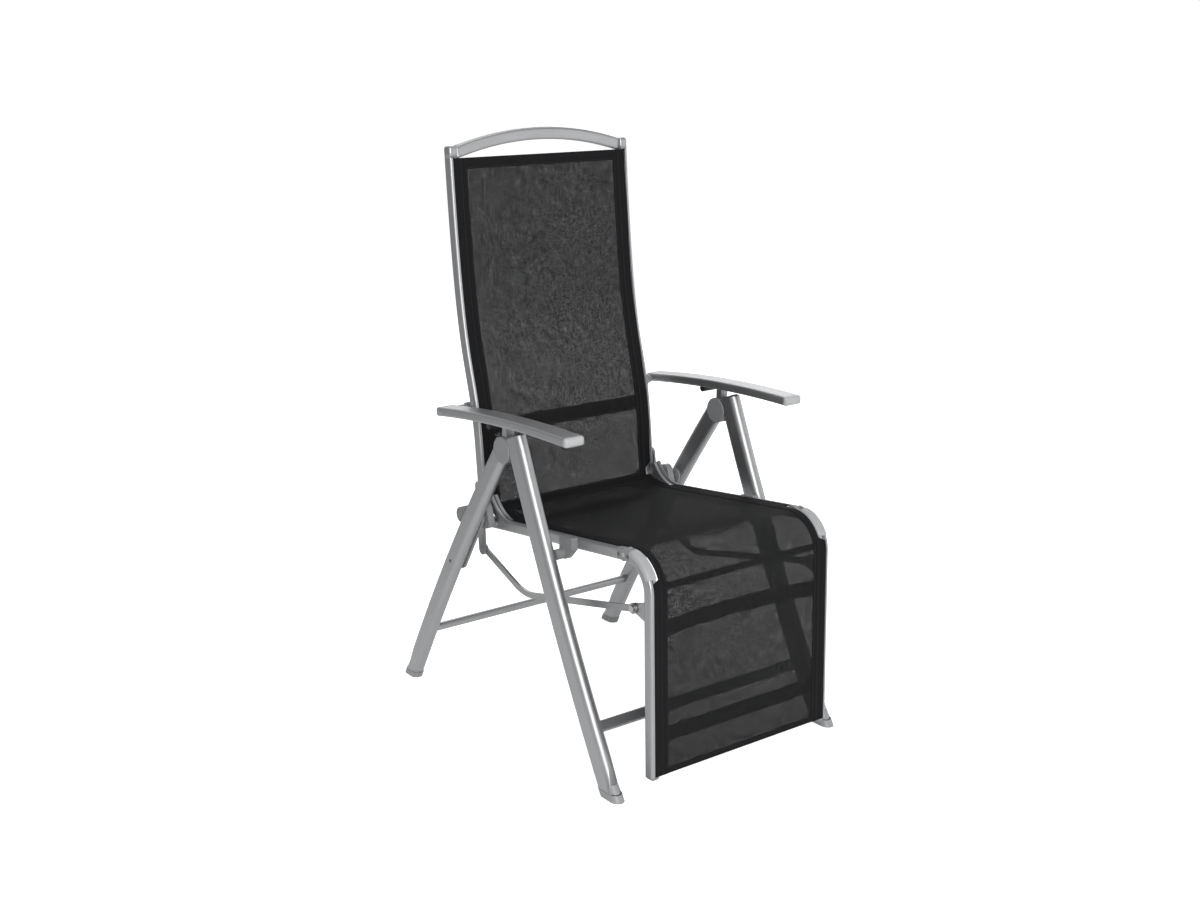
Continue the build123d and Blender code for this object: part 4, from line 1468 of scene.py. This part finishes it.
@dataclass
class Studio:
    """Pale floor, soft lamps and the camera of the photograph.

    Attributes:
        eye: place of the camera.
        azimuth_deg: direction of view from +X towards +Y.
        tilt_deg: direction of view above the horizon.
        roll_deg: turn about the direction of view.
        lens_mm: focal length on the sensor.
        sensor_mm: width of the sensor.
        floor_half: half width of the floor.
        floor_drop: how far it lies below the feet.
        floor_color: colour of the floor.
        floor_lift: how much paler than lit the camera sees the floor.
        lit_pool_run: distances from the chair over which the floor's painted pool of light, seen
            only in the metal's shine, fades out.
        lit_pool_share: how bright that painted pool of light shows in the metal near the chair.
        ambient: strength of the world's light.
        wall_reach: shares of the way behind the chair between which the metal sees the world.
        wall_share: how much of the world's white it sees there.
    """

    eye: Triple = (2.3755, -1.8579, 1.3672)
    azimuth_deg: float = 142.637
    tilt_deg: float = -15.364
    roll_deg: float = 0.345
    lens_mm: float = 47.088
    sensor_mm: float = 36.0
    floor_half: float = 30.0
    floor_drop: float = 0.0005
    floor_color: Triple = (0.9, 0.9, 0.89)
    floor_lift: float = 0.7
    lit_pool_run: Pair = (0.64, 1.6)
    lit_pool_share: float = 0.3
    ambient: float = 0.38
    wall_reach: Pair = (0.2, 0.9)
    wall_share: float = 0.72

    def camera(self) -> None:
        """Sets the camera up: its axes are the view's right, up and back, turned by the roll."""
        azimuth, tilt = math.radians(self.azimuth_deg), math.radians(self.tilt_deg)
        flat = math.cos(tilt)
        ahead = Vector((flat * math.cos(azimuth), flat * math.sin(azimuth), math.sin(tilt)))
        right = ahead.cross(Vector((0.0, 0.0, 1.0))).normalized()
        up = right.cross(ahead)
        roll = math.radians(self.roll_deg)
        rolled_right = right * math.cos(roll) + up * math.sin(roll)
        rolled_up = up * math.cos(roll) - right * math.sin(roll)
        turn = Matrix((rolled_right, rolled_up, -ahead)).transposed()
        lens = bpy.data.cameras.new("photo_camera")
        lens.lens = self.lens_mm
        lens.sensor_width = self.sensor_mm
        lens.sensor_fit = "HORIZONTAL"
        lens.clip_end = 2.0 * self.floor_half
        camera = bpy.data.objects.new("photo_camera", lens)
        camera.matrix_world = Matrix.Translation(self.eye) @ turn.to_4x4()
        bpy.context.scene.collection.objects.link(camera)
        bpy.context.scene.camera = camera

    @staticmethod
    def _seen(board: NodeBoard, gloss: Socket, share: float) -> Socket:
        """How much of a white shows: all to the camera and through glass, some in shine.

        Args:
            board: board of the material or the world.
            gloss: where the white shows in shine, from 0 to 1.
            share: how much of it shows there.

        Returns:
            The result's socket.
        """
        path = board.node("ShaderNodeLightPath").outputs
        seen = board.math("MAXIMUM", path["Is Camera Ray"], path["Is Transmission Ray"])
        return board.math("MAXIMUM", seen, board.product(path["Is Glossy Ray"], gloss, share))

    def floor(self) -> None:
        """Lays a wide, pale floor that shows white to the camera and keeps the shadow. In the
        metal's shine it glows with a painted pool of light round the chair.
        """
        side = np.linspace(-self.floor_half, self.floor_half, 3)
        x, y = np.meshgrid(side, side)
        floor = Surface.grid("floor", np.stack([x, y, np.full_like(x, -self.floor_drop)], axis=-1))
        material = bpy.data.materials.new("pale_floor")
        material.use_nodes = True
        board = NodeBoard(material.node_tree)
        shader = material.node_tree.nodes["Principled BSDF"]
        # Painted pool of light: in shine the floor glows brightest near the chair and fades with
        # the distance.
        place = board.coordinate("Object")
        far = board.node("ShaderNodeVectorMath", {0: place}, operation="LENGTH")
        near = board.ramp(far.outputs["Value"], self.lit_pool_run[1], self.lit_pool_run[0])
        seen = self._seen(board, near, self.lit_pool_share)
        fed = {
            "Base Color": (*self.floor_color, 1.0),
            "Roughness": 0.9,
            "Specular IOR Level": 0.1,
            "Emission Color": WHITE,
            "Emission Strength": board.product(seen, self.floor_lift),
        }
        for key, value in fed.items():
            board.feed(shader, key, value)
        floor.data.materials.append(material)

    def world(self) -> None:
        """Lights the world softly, and shows it white to the camera.

        Shine sees it white only behind the chair: where the way's share along the view is high.
        """
        world = bpy.data.worlds.new("studio")
        bpy.context.scene.world = world
        world.use_nodes = True
        board = NodeBoard(world.node_tree)
        azimuth = math.radians(self.azimuth_deg)
        place = board.coordinate("Generated")
        way = board.node("ShaderNodeSeparateXYZ", {"Vector": place}).outputs
        ahead = board.product(way["X"], math.cos(azimuth))
        behind = board.math("ADD", ahead, board.product(way["Y"], math.sin(azimuth)))
        seen = self._seen(board, board.ramp(behind, *self.wall_reach), self.wall_share)
        back = world.node_tree.nodes["Background"]
        board.feed(back, "Color", WHITE)
        board.feed(back, "Strength", board.around(self.ambient, seen, 1.0 - self.ambient))

    def build(self) -> None:
        """Sets up the whole studio."""
        bpy.context.scene.view_settings.view_transform = "Standard"
        self.camera()
        self.floor()
        self.world()
        for lamp in LAMPS:
            lamp.hang()


@dataclass
class Carried:
    """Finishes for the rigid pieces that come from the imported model.

    Attributes:
        shop: where the finishes come from.
        nodes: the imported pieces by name.
        record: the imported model's record.
    """

    shop: Paintshop
    nodes: dict[str, Piece]
    record: dict

    def dress(self) -> int:
        """Paints each rigid node with the finish of its material slot, or with its own.

        Returns:
            The number of nodes painted.
        """
        by_slot = {
            "frame_tube": SILVER,
            "grey_plastic": GREY,
            "pale_plastic": PALE,
            "dark_plastic": DARK,
            "steel": STEEL,
            "mesh_fabric": SLING,
        }
        slots = {row["node"]: row["material_slot"] for row in self.record["subparts"]}
        for name, piece in self.nodes.items():
            finish = by_slot[slots[name]]
            if "rivets" in name:
                finish = RIVET
            elif name.endswith("_feet"):
                finish = FOOT
            elif name.startswith("push_rod"):
                finish = ROD_SILVER
            self.shop.paint(piece, finish)
        return len(self.nodes)


def main() -> None:
    """Builds the chair and the studio, in order."""
    logging.basicConfig(level=logging.INFO, format="%(name)s: %(message)s")
    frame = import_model()
    shop = Paintshop()
    painted = Carried(shop, frame["nodes"], frame["record"]).dress()
    LOG.info("painted %d nodes", painted)
    joints = {row["name"]: row for row in frame["joints"]}
    x, _, z = joints["footrest_swing"]["pos_m"]
    fabrics = (SeatRest(shop, (x, z)), BackRest(shop, frame["nodes"]["back_sling"]))
    for group in (*fabrics, KneeSleeve(shop, (x, z)), BackHead(shop), ArmNose(shop)):
        for piece in group.build():
            LOG.info("built %s", piece.name)
    Studio().build()
    LOG.info("studio ready")


if __name__ == "__main__":
    main()
